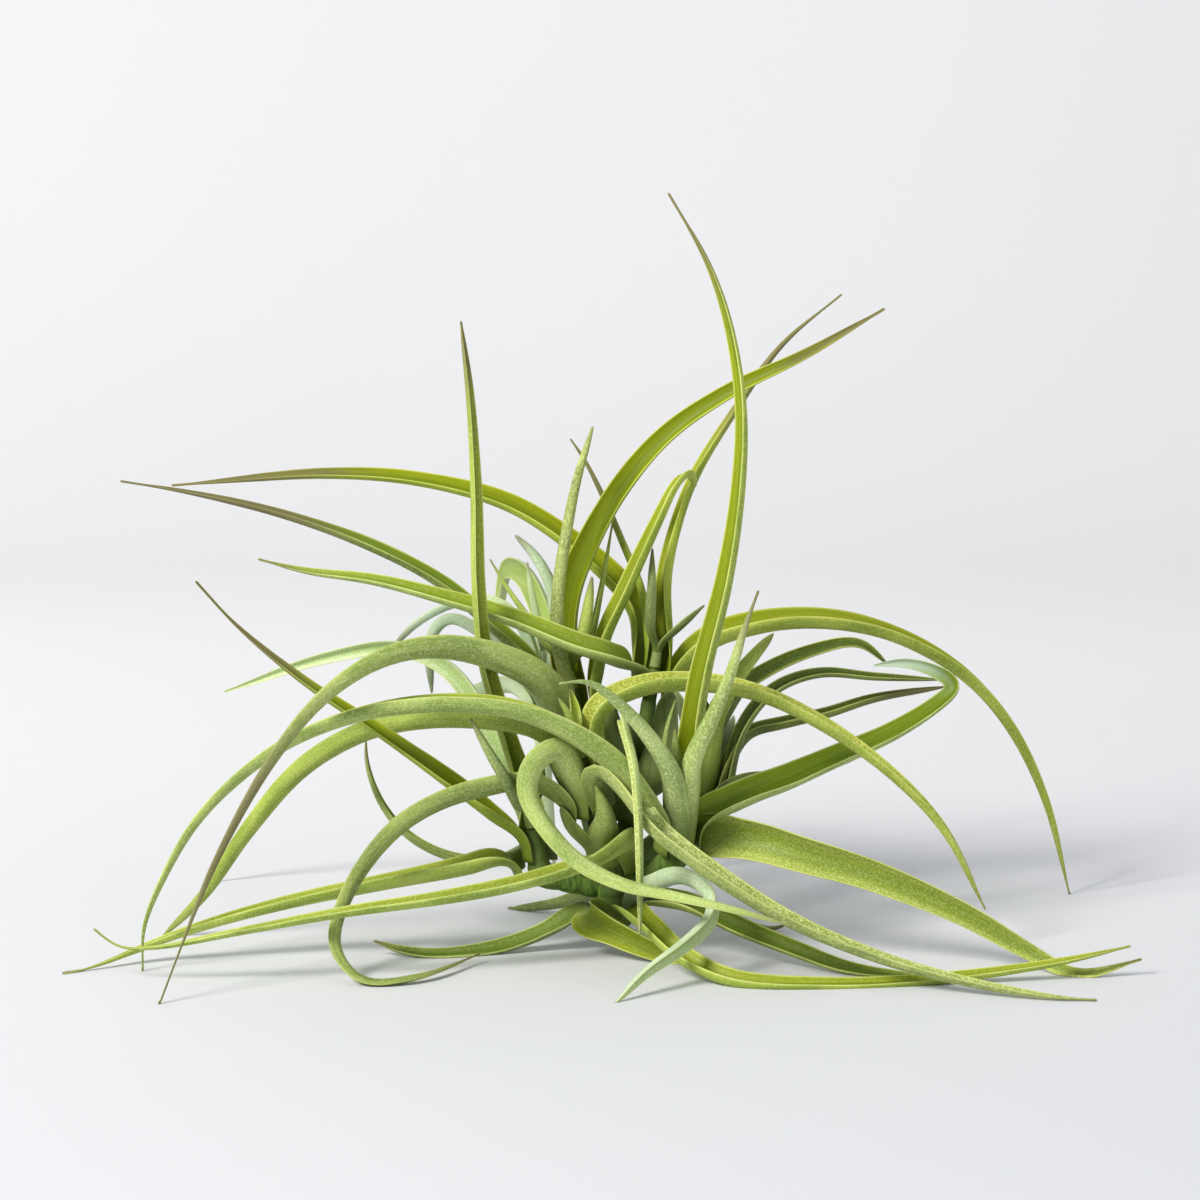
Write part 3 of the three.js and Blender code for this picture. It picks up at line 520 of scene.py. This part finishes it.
def stalk(foot, top, radii, knots=0, steps=28, sides=24):
    """Points and faces of a round stem, the share of its length and the angle at each point.

    The radius follows the radii, swells by a sine between the knots and closes at both ends.
    """
    along = unit(top - foot)
    right = unit(view_right - view_right @ along * along)
    back = np.cross(along, right)
    t = np.concatenate([[0, 0, 0], np.linspace(0, 1, steps), [1, 1, 1]])
    close = np.concatenate([[0.02, 0.6, 0.9], np.ones(steps), [0.9, 0.6, 0.02]])
    past = np.concatenate([[-0.25, -0.22, -0.12], np.zeros(steps), [0.12, 0.22, 0.25]])
    swell = 1 + 0.1 * np.abs(np.sin(math.pi * knots * t)) * (knots > 0)
    far = np.interp(t, np.linspace(0, 1, len(radii)), radii) * close * swell
    angle = np.arange(sides) * 2 * math.pi / sides
    spoke = np.cos(angle)[:, None] * right + np.sin(angle)[:, None] * back
    centre = foot + (top - foot) * t[:, None] + along * (past * radii[-1])[:, None]
    points = (centre[:, None] + far[:, None, None] * spoke[None]).reshape(-1, 3)
    count = len(t)
    i, j = np.meshgrid(np.arange(count - 1), np.arange(sides), indexing="ij")
    beside = (j + 1) % sides
    here, above = i * sides, (i + 1) * sides
    quads = np.stack([here + j, here + beside, above + beside, above + j], -1)
    ends = np.array([np.arange(sides)[::-1], (count - 1) * sides + np.arange(sides)])
    up = np.repeat(np.arange(count) / count, sides)
    return points, [quads.reshape(-1, 4), ends], up, np.tile(angle, count)


def joined(blocks):
    """The points and the faces of all blocks in one list each."""
    starts = np.cumsum([0] + [len(block[0]) for block in blocks[:-1]])
    points = np.vstack([block[0] for block in blocks])
    return points, [rows + start for start, block in zip(starts, blocks) for rows in block[1]]


bud_length, bud_radii, bud_girth = 6, (1.3, 1.15, 0.65), 1.2
bud_gap, young_gap = 0.6, 0.9  # from the end of the branch


def heart(name, branch, tone, young, seed):
    """The growing point of a rosette with its short young leaves, joined in one piece."""
    foot, along, length = branch_line(branch)
    rng = np.random.default_rng(seed)
    bottom = foot + along * (length + bud_gap)
    points, faces, up, angle = stalk(bottom, bottom + along * bud_length, bud_radii)
    still = np.zeros(len(up))
    grain = np.column_stack([bud_girth * angle, 20 + bud_length * up, still + 7])
    blocks = [((points - middle) / 1000, faces, {
        "across": still, "inside": still, "along": still, "reach": still + 12,
        "grain": grain, "shade": still, "ripe": still + 2, "dust": still + 0.3,
        "frost": still + 0.1, "warm": still + 0.4, "fade": still,
    })]
    for leaf in young:
        leaf = dict(ring=0, radius=bud_radii[-1], lift=length + young_gap, taper=0.5, roll=0, **leaf)
        blocks.append(blade(branch, leaf, rng))
    points, faces = joined(blocks)
    attributes = {key: np.concatenate([block[2][key] for block in blocks]) for key in blocks[0][2]}
    piece = mesh_object(name.replace("heart_", "young_"), points, faces, **attributes)
    piece.data.materials.append(greens[tone])
    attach(piece, "root")
    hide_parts(name)


right = dict(foot=(5.5, 12, -4), neck=(17.3, 19.5, -10.5), top=(18.6, 31, -12.3))
grow(right, [
    dict(name="leaf_right_tallest", tone="fresh",
         ring=0, lift=4, turn=80, width=6.2, taper=0.85, roll=-50,
         ripe=0.8, dust=0.75, frost=0.08, warm=0.6,
         route=[(20.5, 47, -15), (22.6, 60, -17), (27.6, 80, -18), (30.6, 100, -18),
                (31.2, 118, -17), (28.5, 136, -15), (23.8, 150, -13), (15.2, 165.2, -10)]),
    dict(name="leaf_right_short", tone="silvery",
         ring=0, lift=4, turn=290, width=4.6, taper=0.8, roll=0,
         ripe=0.8, dust=1, warm=0.5,
         route=[(20.5, 40, -20), (25, 50, -22.5), (29, 60, -23.5), (32, 70, -23.5),
                (34.8, 77.7, -22)]),
    dict(name="leaf_right_hook", tone="silvery",
         ring=1, lift=3, turn=235, width=5.4, taper=0.8, roll=0,
         ripe=1.1, dust=1, warm=0.3,
         route=[(15.5, 37, -20), (11, 45, -23), (3, 54, -27), (-3, 58, -30), (-8.8, 57.5, -33)]),
    dict(name="leaf_right_low", tone="silvery",
         ring=2, lift=0.5, turn=60, width=8.4, taper=0.75, roll=-5, sheath=2,
         ripe=0.9, dust=0.95, warm=0.75,
         route=[(23, 24.5, -7), (28.6, 24, -9), (36, 22.6, -12), (43.7, 20.2, -15), (60, 15.3, -17),
                (80, 6.8, -18.5), (95, -1.7, -21), (105, -6.4, -26), (118.9, -3.2, -26)]),
    dict(name="leaf_right_curled", tone="fresh",
         ring=1, lift=2.5, turn=30, width=6.6, taper=0.55, roll=12,
         ripe=0.8, dust=0.95, frost=0.08, warm=0.4, fade=1, look="silvery",
         route=[(32, 33, -6), (40, 36, -2), (50, 40.3, 4), (65, 47, 11), (75, 53.5, 15),
                (78.3, 57, 17), (74, 60.2, 18), (67, 62.2, 19), (60.5, 61.5, 19)]),
    dict(name="leaf_right_arch", tone="silvery",
         ring=2, lift=1.5, turn=190, width=8.8, taper=0.85, roll=15,
         ripe=0.95, dust=0.65, frost=0.1, warm=0.5,
         route=[(8, 34.5, -16), (0, 42.8, -19), (-15, 50.8, -21), (-30, 53.2, -21.5),
                (-50, 51.5, -22), (-68, 45, -22), (-80, 36.5, -22), (-89, 27, -22.5),
                (-96, 15, -23), (-100.3, 4, -23), (-100.6, -5.8, -21.5)]),
], seed=100)
heart("heart_right", right, "silvery", [
    dict(turn=240, width=2.2, route=[(17.2, 39, -15.5), (16.5, 43, -17), (16.5, 47.2, -18)]),
    dict(turn=190, width=1.8,
         route=[(14.7, 39, -13.8), (14.2, 44, -12.8), (15, 49, -11.4), (16.6, 53.8, -9.5)]),
], seed=190)


# The left rosette: two long blades rise from it and one lies low to the left. A thin
# curl and a pale blade stand behind them.
left = dict(foot=(0, 13, -3), neck=(-13, 15.5, -5.5), top=(-15, 25.5, -6.5))
grow(left, [
    dict(name="leaf_left_low", tone="fresh",
         ring=2, lift=0.5, turn=195, width=7, taper=0.9, roll=5, sheath=3,
         ripe=0.9, dust=0.6, warm=0.5,
         route=[(-22, 18.5, -8), (-36, 16, -10), (-50, 13.3, -11), (-70, 9, -12.5), (-88, 4, -14),
                (-100, -0.3, -15.5), (-110, -4.3, -20), (-118, -6.7, -24)]),
    dict(name="leaf_left_upright", tone="fresh",
         ring=1, lift=3, turn=100, width=4.6, taper=0.5, roll=50,
         ripe=0.8, dust=0.7, frost=0.4, warm=0.6,
         route=[(-15.5, 31, -3), (-19, 41, -4), (-22.5, 52, -5), (-25.5, 63, -7), (-27, 80, -9),
                (-27.4, 100, -9), (-28.6, 120, -6), (-30.6, 137, -2)]),
    dict(name="leaf_left_rising", tone="fresh",
         ring=0, lift=4, turn=200, width=4.8, taper=1, roll=-50,
         ripe=0.6, dust=0.25, warm=0.8,
         route=[(-25, 30, -8), (-35, 37.5, -11), (-50, 48, -14), (-65, 58, -17), (-80, 70.3, -19),
                (-88.8, 79.8, -20)]),
    dict(name="leaf_left_thin", tone="grey",
         ring=3, lift=0.3, turn=135, width=3, taper=0.5, roll=0,
         ripe=0.8, dust=0.6, warm=0.5,
         route=[(-22, 18.5, 3), (-33, 19.5, 5), (-42, 24, 7), (-48, 31, 8), (-51.3, 40, 9),
                (-51.5, 46, 9)]),
    dict(name="leaf_left_back", tone="pale",
         ring=2, lift=1.5, turn=70, width=4.6, taper=0.6, roll=0,
         ripe=1, dust=1, frost=1, warm=0.2,
         route=[(-19, 36, 5), (-25, 49, 8), (-33, 60.5, 11), (-44, 65.3, 15), (-60, 63.3, 20),
                (-82.3, 55.8, 28)]),
], seed=200)
heart("heart_left", left, "grey", [
    dict(turn=285, width=2.8,
         route=[(-17, 30, -15), (-20.5, 36, -21.5), (-24.8, 43, -22), (-28.3, 49.5, -20)]),
    dict(turn=10, width=1.8, route=[(-13.2, 32, -6), (-12.3, 36, -5), (-12.6, 40, -3.5)]),
], seed=290)


# The middle front rosette: its blades loop, curl and arch over each other, and short
# broad sheaths wrap the branch below them.
front = dict(foot=(2, 16, -5), top=(-4, 41, -12))
grow(front, [
    dict(name="leaf_front_low", tone="grey",
         ring=2, lift=17, turn=310, width=6.6, taper=0.7, roll=0, sheath=2,
         ripe=0.95, dust=1, warm=0.6,
         route=[(0, 39, -16), (4, 36.2, -17.5), (8, 31.2, -20), (12, 25.8, -23.5), (20, 19.3, -27),
                (40, 6.3, -31), (60, -2.3, -35), (80, -8, -39.5), (100, -11.5, -44.5),
                (109, -12.1, -45)]),
    dict(name="leaf_front_right", tone="fresh",
         ring=1, lift=18, turn=20, width=7, taper=0.6, roll=-5,
         ripe=0.92, dust=0.85, frost=0.8, warm=0.75,
         route=[(-1, 51, -12), (8, 56.5, -10), (20, 57.8, -7), (35, 55.3, -6), (50, 48, -6),
                (65, 37, -6), (76, 25, -5), (84.7, 8, -4)]),
    dict(name="leaf_front_loop", tone="silvery",
         ring=2, lift=16, turn=215, width=7, taper=0.65, roll=60,
         ripe=0.9, dust=0.7, warm=0.4,
         route=[(-10, 43, -17), (-15, 39, -20), (-15.8, 33, -22), (-12, 26, -24.5), (-5, 18.5, -27),
                (5, 13.3, -30), (15, 11, -33), (28, 8, -36), (42, 4.3, -38)]),
    dict(name="leaf_front_curl", tone="grey",
         ring=3, lift=13, turn=195, width=6, taper=0.75, roll=55,
         ripe=0.85, dust=0.4, warm=0.6,
         route=[(-14, 36, -16), (-25, 34.5, -17), (-35, 31.5, -18), (-45, 25.3, -20),
                (-55, 12, -23.5), (-58.3, 0, -27), (-52, -8, -33), (-40, -7, -31), (-26.5, -2, -15)]),
    dict(name="leaf_front_arch", tone="fresh",
         ring=1, lift=18, turn=150, width=6.8, taper=0.5, roll=75,
         ripe=0.95, dust=0.5, warm=0.55,
         route=[(-12, 46.5, -12), (-30, 49.8, -10), (-50, 47.3, -6.5), (-65, 39, -3),
                (-77.3, 25, 0), (-87, 11, 4), (-96, 2, 7)]),
    dict(name="leaf_sheath_front", tone="grey",
         ring=1, lift=3, turn=265, width=6.5, taper=0.8, roll=15,
         ripe=1.1, dust=0.45, warm=0.6,
         route=[(1.2, 26, -14), (1, 30, -15.5), (-1, 35, -16)]),
    dict(name="leaf_sheath_left", tone="grey",
         ring=0, lift=2, turn=205, width=6, taper=0.5, roll=0,
         ripe=1.1, dust=0.3, warm=0.6,
         route=[(-4.5, 24, -10), (-7, 27, -12.5), (-8.5, 30.5, -14.5)]),
], seed=300)
heart("heart_front", front, "fresh", [
    dict(turn=100, width=2.4, route=[(-5, 49, -10), (-5.5, 52, -9), (-6.5, 56, -8)]),
    dict(turn=250, width=1.8, route=[(-6, 48, -15), (-7, 51, -15), (-9, 54, -15)]),
], seed=390)


# The first tall rosette at the middle, with the widest arch of the clump to the left.
tall = dict(foot=(1, 18, 0), top=(-6, 56, 8))
grow(tall, [
    dict(name="leaf_tall_arch", tone="silvery",
         ring=3, lift=27, turn=215, width=9, taper=1.15, roll=35,
         ripe=0.5, dust=0.85, frost=0.1, warm=0.55,
         route=[(-13, 57.5, -3), (-25, 63.5, -11), (-38, 65.2, -19), (-50, 62, -26),
                (-62, 53.5, -31), (-73, 39.5, -35), (-85, 17.5, -40), (-92, 0, -44),
                (-97, -13.2, -47)]),
    dict(name="leaf_tall_left", tone="fresh",
         ring=2, lift=30, turn=165, width=5.2, taper=0.8, roll=0,
         ripe=0.55, dust=0.4, frost=0.05, warm=0.7, look="grey",
         route=[(-15, 62, 8), (-25, 71.5, 8), (-35, 79.8, 7), (-50, 87.7, 5), (-70, 94.8, 2),
                (-90, 99.5, -1), (-105.3, 102, -4)]),
    dict(name="leaf_tall_right", tone="fresh",
         ring=1, lift=32, turn=95, width=6.2, taper=0.7, roll=-35,
         ripe=0.78, dust=0.3, warm=1,
         route=[(-7.8, 68, 12), (-6.5, 78, 12), (-3, 87, 12), (5, 101, 11), (15, 112.5, 10),
                (29, 122, 8), (45, 129.8, 5), (62.4, 139.8, 2)]),
    dict(name="leaf_tall_folded", tone="fresh",
         ring=2, lift=30, turn=0, width=5.4, taper=0.45, roll=15,
         ripe=1, dust=0.4, warm=0.8,
         route=[(0, 65, 7), (6, 79, 7), (13, 94, 7), (17, 102, 8), (19.6, 104, 11), (21, 101, 15)]),
    dict(name="leaf_tall_thin", tone="grey",
         ring=0, lift=34, turn=235, width=2.9, taper=0.4, roll=0,
         ripe=0.95, dust=1.1, frost=1, warm=0.7,
         route=[(-9.6, 68, 4), (-9.2, 80, 3), (-7.5, 91, 3), (-5.3, 102, 3), (-1.7, 113.8, 4)]),
], seed=400)
heart("heart_tall", tall, "fresh", [
    dict(turn=180, width=2.2, route=[(-10.3, 64, 9), (-15, 71, 12), (-20, 78, 15), (-24.1, 84.7, 17)]),
    dict(turn=270, width=3, route=[(-4.5, 65, 6), (-3, 72, 6), (-1.8, 80.7, 6)]),
    dict(turn=10, width=1.8, route=[(-3, 65, 9.5), (0, 77, 12.5), (2.7, 92.5, 15)]),
], seed=490)


# The second tall rosette, behind the first and to its right, with two blades low down on its
# branch in the deep tone, whose darker green is painted shade behind the other rosettes.
high = dict(foot=(5, 18, 0), top=(11.9, 60.5, 7.4))
grow(high, [
    dict(name="leaf_high_left", tone="fresh",
         ring=2, lift=37, turn=215, width=6.4, taper=0.75, roll=-20,
         ripe=0.85, dust=0.75, frost=0.2, warm=0.45, look="silvery",
         route=[(3, 63.5, -2), (-5, 66, -4), (-20, 72, -4), (-35, 76.5, -3), (-50, 80.3, -2),
                (-65, 82.3, 0), (-75, 84.8, 1)]),
    dict(name="leaf_high_arch", tone="fresh",
         ring=2, lift=37, turn=120, width=6.8, taper=0.8, roll=10,
         ripe=0.66, dust=0.35, frost=0.05, warm=1,
         route=[(8.8, 73, 17), (3, 80.5, 20), (-5, 87.5, 22), (-20, 97, 22), (-40, 102.3, 21),
                (-60, 103.6, 19), (-94, 101.1, 15)]),
    dict(name="leaf_high_long", tone="fresh",
         ring=1, lift=40, turn=45, width=4.6, taper=0.8, roll=-25,
         ripe=0.55, dust=0.3, warm=1,
         route=[(14.2, 80, 13), (17, 93, 19), (21, 103.5, 22), (29.3, 117, 25), (40, 132, 27),
                (53, 143, 28)]),
    dict(name="leaf_high_thin", tone="fresh",
         ring=0, lift=41, turn=170, width=2.2, taper=0.4, roll=0,
         ripe=0.45, dust=0.2, warm=1,
         route=[(9.5, 77, 13), (5, 88.5, 16), (1, 98, 17), (-3.5, 107, 17), (-6.4, 111.2, 17)]),
    dict(name="leaf_high_right", tone="fresh",
         ring=2, lift=35, turn=5, width=7.4, taper=0.7, roll=25,
         ripe=0.9, dust=0.75, frost=0.1, warm=0.9,
         route=[(22, 66, 9), (35, 70.7, 12), (50, 71.5, 17), (65, 68.2, 24), (80, 59.7, 31),
                (90, 48.5, 37), (98, 32, 42), (103.3, 11, 46)]),
    dict(name="leaf_high_hanging", tone="silvery",
         ring=0, lift=24, turn=275, width=2.6, taper=0.35, roll=62, sheath=2,
         ripe=0.9, dust=1, warm=0.4,
         route=[(7.6, 47.5, -3), (5.6, 50.3, -9), (4.9, 50.2, -15), (5.7, 46.5, -20),
                (7.4, 40, -23.5), (8.4, 30, -26.5), (8.8, 15, -27), (8.8, 2.5, -26.5)]),
    dict(name="leaf_high_inner", tone="deep",
         ring=1, lift=9, turn=250, width=9, taper=0.4, roll=0,
         ripe=1.1, dust=0.2, warm=0.4,
         route=[(3, 40, -3), (1.5, 48, -3.5), (1, 55, -2)]),
    dict(name="leaf_high_lower", tone="deep",
         ring=0, lift=9, turn=310, width=10, taper=0.4, roll=0,
         ripe=1.1, dust=0.25, warm=0.4,
         route=[(12.5, 36, -3), (14.5, 45, -3), (15.5, 56, -1.5)]),
], seed=500)
heart("heart_high", high, "deep", [
    dict(turn=210, width=3, route=[(10.8, 68, 6.5), (11.2, 77, 7), (11.5, 87, 9)]),
    dict(turn=330, width=2.6, route=[(15, 67.5, 6), (18.6, 71, 5.3), (22.8, 74.6, 5)]),
], seed=590)


# The back left rosette: pale blades that hook over or reach down to the surface.
pale = dict(foot=(1, 18, 1), top=(-11, 61, 28))
grow(pale, [
    dict(name="leaf_pale_curled", tone="pale",
         ring=1, lift=38, turn=165, width=4.6, taper=0.5, roll=0,
         dust=0.7, warm=0,
         route=[(-17, 70, 27), (-23, 75.5, 28), (-31, 75.5, 30), (-40, 71, 33), (-46, 65, 35)]),
    dict(name="leaf_pale_broad", tone="pale",
         ring=1, lift=38, turn=60, width=5.4, taper=0.4, roll=0,
         dust=0.5, warm=0.5,
         route=[(-12, 72, 36), (-16, 81, 39), (-20, 83, 45), (-22, 75, 53), (-23, 60, 58)]),
    dict(name="leaf_pale_hooked", tone="pale",
         ring=2, lift=35, turn=205, width=4.2, taper=0.5, roll=0,
         dust=0.7, warm=0,
         route=[(-18, 64, 23), (-26, 68.5, 22), (-33, 72, 22), (-37, 68, 23), (-37, 55.7, 25)]),
    dict(name="leaf_pale_upright", tone="pale",
         ring=1, lift=38, turn=285, width=3.2, taper=0.4, roll=0,
         dust=0.7, warm=0.1,
         route=[(-9.5, 74, 21), (-11.5, 81, 21), (-14.5, 86, 22), (-18.5, 90, 23)]),
    dict(name="leaf_pale_floor", tone="pale",
         ring=2, lift=34, turn=100, width=5.4, taper=0.5, roll=0,
         dust=0.6, warm=0.3,
         route=[(-11, 66, 38), (-12, 66, 50), (-13, 55, 62), (-12, 38, 70), (-10, 17.2, 75)]),
    dict(name="leaf_pale_left_floor", tone="pale",
         ring=3, lift=32, turn=150, width=4.6, taper=0.5, roll=0,
         dust=0.6, warm=0.2,
         route=[(-19, 57, 32), (-32, 53, 40), (-46, 48.5, 46), (-58, 43, 50), (-68, 36, 54),
                (-77, 25.5, 57), (-84, 13.6, 58.5)]),
], seed=600)
heart("heart_pale", pale, "pale", [
    dict(turn=20, width=2.4, route=[(-9, 71, 29), (-7, 79, 30), (-7, 85, 31)]),
    dict(turn=200, width=2.4, route=[(-13.5, 70, 28), (-15, 77, 28), (-16, 84, 29)]),
], seed=690)


# The back right rosette: thin blades in the shade of the others, most in the deep tone, whose darker
# green is painted shade.
dark = dict(foot=(5, 17, 0), neck=(20, 27, 13), top=(23.5, 40, 18))
grow(dark, [
    dict(name="leaf_dark_low", tone="deep",
         ring=2, lift=0.5, turn=335, width=5, taper=0.5, roll=20,
         ripe=0.9, dust=0.4, warm=0.5,
         route=[(32, 36, 13), (40, 36.5, 14), (48, 38.5, 15), (58, 42, 16)]),
    dict(name="leaf_dark_middle", tone="deep",
         ring=1, lift=3, turn=15, width=4.4, taper=0.5, roll=20,
         ripe=0.7, dust=0.5, warm=0.8,
         route=[(32, 46.3, 24), (40, 48.7, 26), (50, 51, 28), (60, 54.2, 30), (76, 56.8, 34)]),
    dict(name="leaf_dark_upper", tone="deep",
         ring=0, lift=6, turn=80, width=4, taper=0.45, roll=0,
         ripe=0.95, dust=0.7, warm=0.7,
         route=[(28, 54, 28), (36, 60, 31), (46, 64.5, 33), (57, 66.5, 34), (63, 62, 35)]),
    dict(name="leaf_dark_straight", tone="fresh",
         ring=0, lift=6, turn=290, width=5, taper=0.45, roll=0,
         ripe=0.9, dust=0.35, warm=0.4,
         route=[(25.5, 50, 18), (28, 55, 18), (32, 61, 19), (38, 68.3, 21)]),
    dict(name="leaf_dark_level", tone="deep",
         ring=3, lift=0.3, turn=20, width=3.6, taper=0.5, roll=15,
         ripe=0.9, dust=0.6, warm=0.6,
         route=[(31, 47, 20), (38, 56, 21), (48, 59.8, 23), (60, 59, 25), (75, 58.3, 27)]),
    dict(name="leaf_dark_back", tone="deep",
         ring=2, lift=1.5, turn=85, width=5.2, taper=0.5, roll=0,
         dust=0.4, warm=0.3,
         route=[(27, 47, 38), (27, 50, 48), (26, 44, 59), (24, 31, 67), (22, 16.5, 72)]),
    dict(name="leaf_dark_back_left", tone="deep",
         ring=1, lift=4, turn=150, width=4.8, taper=0.5, roll=0,
         dust=0.4, warm=0.3,
         route=[(19, 50, 32), (16, 54, 43), (12, 48, 55), (9, 34, 63), (7, 15.8, 69)]),
], seed=700)
heart("heart_dark", dark, "deep", [
    dict(turn=220, width=2.4, route=[(24, 50, 21), (21, 56, 19), (18, 61, 18)]),
    dict(turn=0, width=2, route=[(26.5, 47, 21), (29, 52, 23), (33, 57.5, 25)]),
], seed=790)


# The old leaves grow from the foot of the stem and lie along the surface, some of them
# with their tips turned up again.
old = dict(foot=(3, 5, -3), top=(3, 20, -3), radius=4)
grow(old, [
    dict(name="leaf_old_under", tone="fresh",
         ring=0, lift=1, turn=235, width=6, taper=0.5, roll=0, sheath=3,
         ripe=1.1, dust=0.6, warm=0.6,
         route=[(-4, 7, -9), (3, 3, -12), (12, -1.2, -14.5), (21, -4.3, -16)]),
    dict(name="leaf_old_left", tone="fresh",
         ring=1, lift=12, turn=320, width=5.4, taper=0.8, roll=-67, sheath=3,
         ripe=0.93, dust=0.6, warm=0.4,
         route=[(6, 22.3, -11.5), (-0.4, 19, -17.5), (-8.8, 16, -19.5), (-20, 13, -23),
                (-35, 10.2, -27), (-56, 7.2, -31), (-80, 2.8, -32), (-98, -0.6, -31),
                (-106, -0.4, -30), (-111.2, 3.4, -29)]),
    dict(name="leaf_old_bent", tone="pale",
         ring=1, lift=2, turn=315, width=5, taper=0.5, roll=-50, sheath=3,
         ripe=1.1, dust=0.8, warm=0.2,
         route=[(16, 15, -14), (21, 14, -18.5), (24.8, 10, -23), (24, 5.5, -27), (17, -1, -34),
                (10, -6, -40), (3.5, -12.8, -46)]),
    dict(name="leaf_old_front", tone="fresh",
         ring=0, lift=1, turn=290, width=5.2, taper=0.6, roll=-5, sheath=3,
         ripe=0.95, dust=0.5, warm=0.6,
         route=[(10, 5, -19), (18, -2.5, -27), (30, -7.8, -33), (50, -8.9, -34), (70, -8, -32),
                (90, -5.6, -30), (104, -3.2, -29), (116.5, -0.3, -28)]),
    dict(name="leaf_old_dark", tone="grey",
         ring=0, lift=1, turn=345, width=5, taper=0.5, roll=25, sheath=3,
         ripe=1, dust=0.5, warm=0.7,
         route=[(18, 9.5, -8), (30, 4, -13), (42, -0.8, -18), (55, -5.3, -24), (70, -6.9, -27)]),
    dict(name="leaf_old_right", tone="grey",
         ring=0, lift=1, turn=40, width=3.6, taper=0.5, roll=0, sheath=3,
         ripe=0.8, dust=0.4, warm=0.3,
         route=[(14, 11, 5), (24, 8, 9), (33, 4.6, 12), (38, 3.4, 12), (41.5, 4.8, 11)]),
    dict(name="leaf_old_low_left", tone="grey",
         ring=0, lift=1, turn=180, width=4, taper=0.5, roll=-20, sheath=3,
         ripe=0.9, dust=0.6, warm=0.4,
         route=[(-8, 5, -4), (-20, 0, -6), (-35, -2.1, -10), (-44, -1.1, -10), (-49.5, 0.8, -9)]),
    dict(name="leaf_old_back", tone="grey",
         ring=0, lift=1, turn=100, width=4.6, taper=0.5, roll=0, sheath=3,
         ripe=0.9, dust=0.5, warm=0.4,
         route=[(2, 11, 10), (-2, 11, 18), (-10, 8.9, 26), (-20, 7.8, 32)]),
], seed=800)


# The short stem branches up into every rosette. It is woody, ringed by the scars of lost
# leaves, and painted dark green: partly the remains of their sheaths, partly painted shade.
scar_spacing = 3.2
blocks = []
for branch in (right, left, front, tall, high, pale, dark, old):
    foot, along, length = branch_line(branch)
    radii = (branch["radius"],) * 2 if "radius" in branch else stem_radii
    blocks.append(stalk(foot, foot + along * length, radii, knots=round(length / scar_spacing)))
    if "neck" in branch:
        blocks.append(stalk(seen(branch["foot"])[0], foot, (stem_radii[0],) * 2, knots=3))
points, faces = joined(blocks)
stem = mesh_object("stem", (points - middle) / 1000, faces)
bark, principled, start = shader("bark", Specular_IOR_Level=0.3)
place = start.wire("ShaderNodeTexCoord", out=3)
fibres = place.stretched(1400, 1400, 260).noise(detail=4)
cover = place.stretched(160, 160, 90).noise(detail=2)
# The dark greens of the stem are partly the remains of its sheaths and partly painted shade where it
# stands behind the leaves
bark_and_shade_colour = fibres.step(0.3, 0.7).mix(rgb("3a5218"), rgb("64802e"))
feed(cover.step(0.42, 0.6).mix(bark_and_shade_colour, rgb("54682a")), principled, "Base Color")
feed(0.6 + 0.2 * fibres, principled, "Roughness")
bump = fibres.node("ShaderNodeBump", None, Strength=0.6, Distance=0.0003, Height=fibres)
bark.node_tree.links.new(bump.outputs[0], principled.inputs["Normal"])
stem.data.materials.append(bark)
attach(stem, "root")
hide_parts("branching_stem")


sizes = {"cad": cad_bounds, "visual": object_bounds()}
sizes = {key: [[float(v) for v in corner] for corner in box] for key, box in sizes.items()}
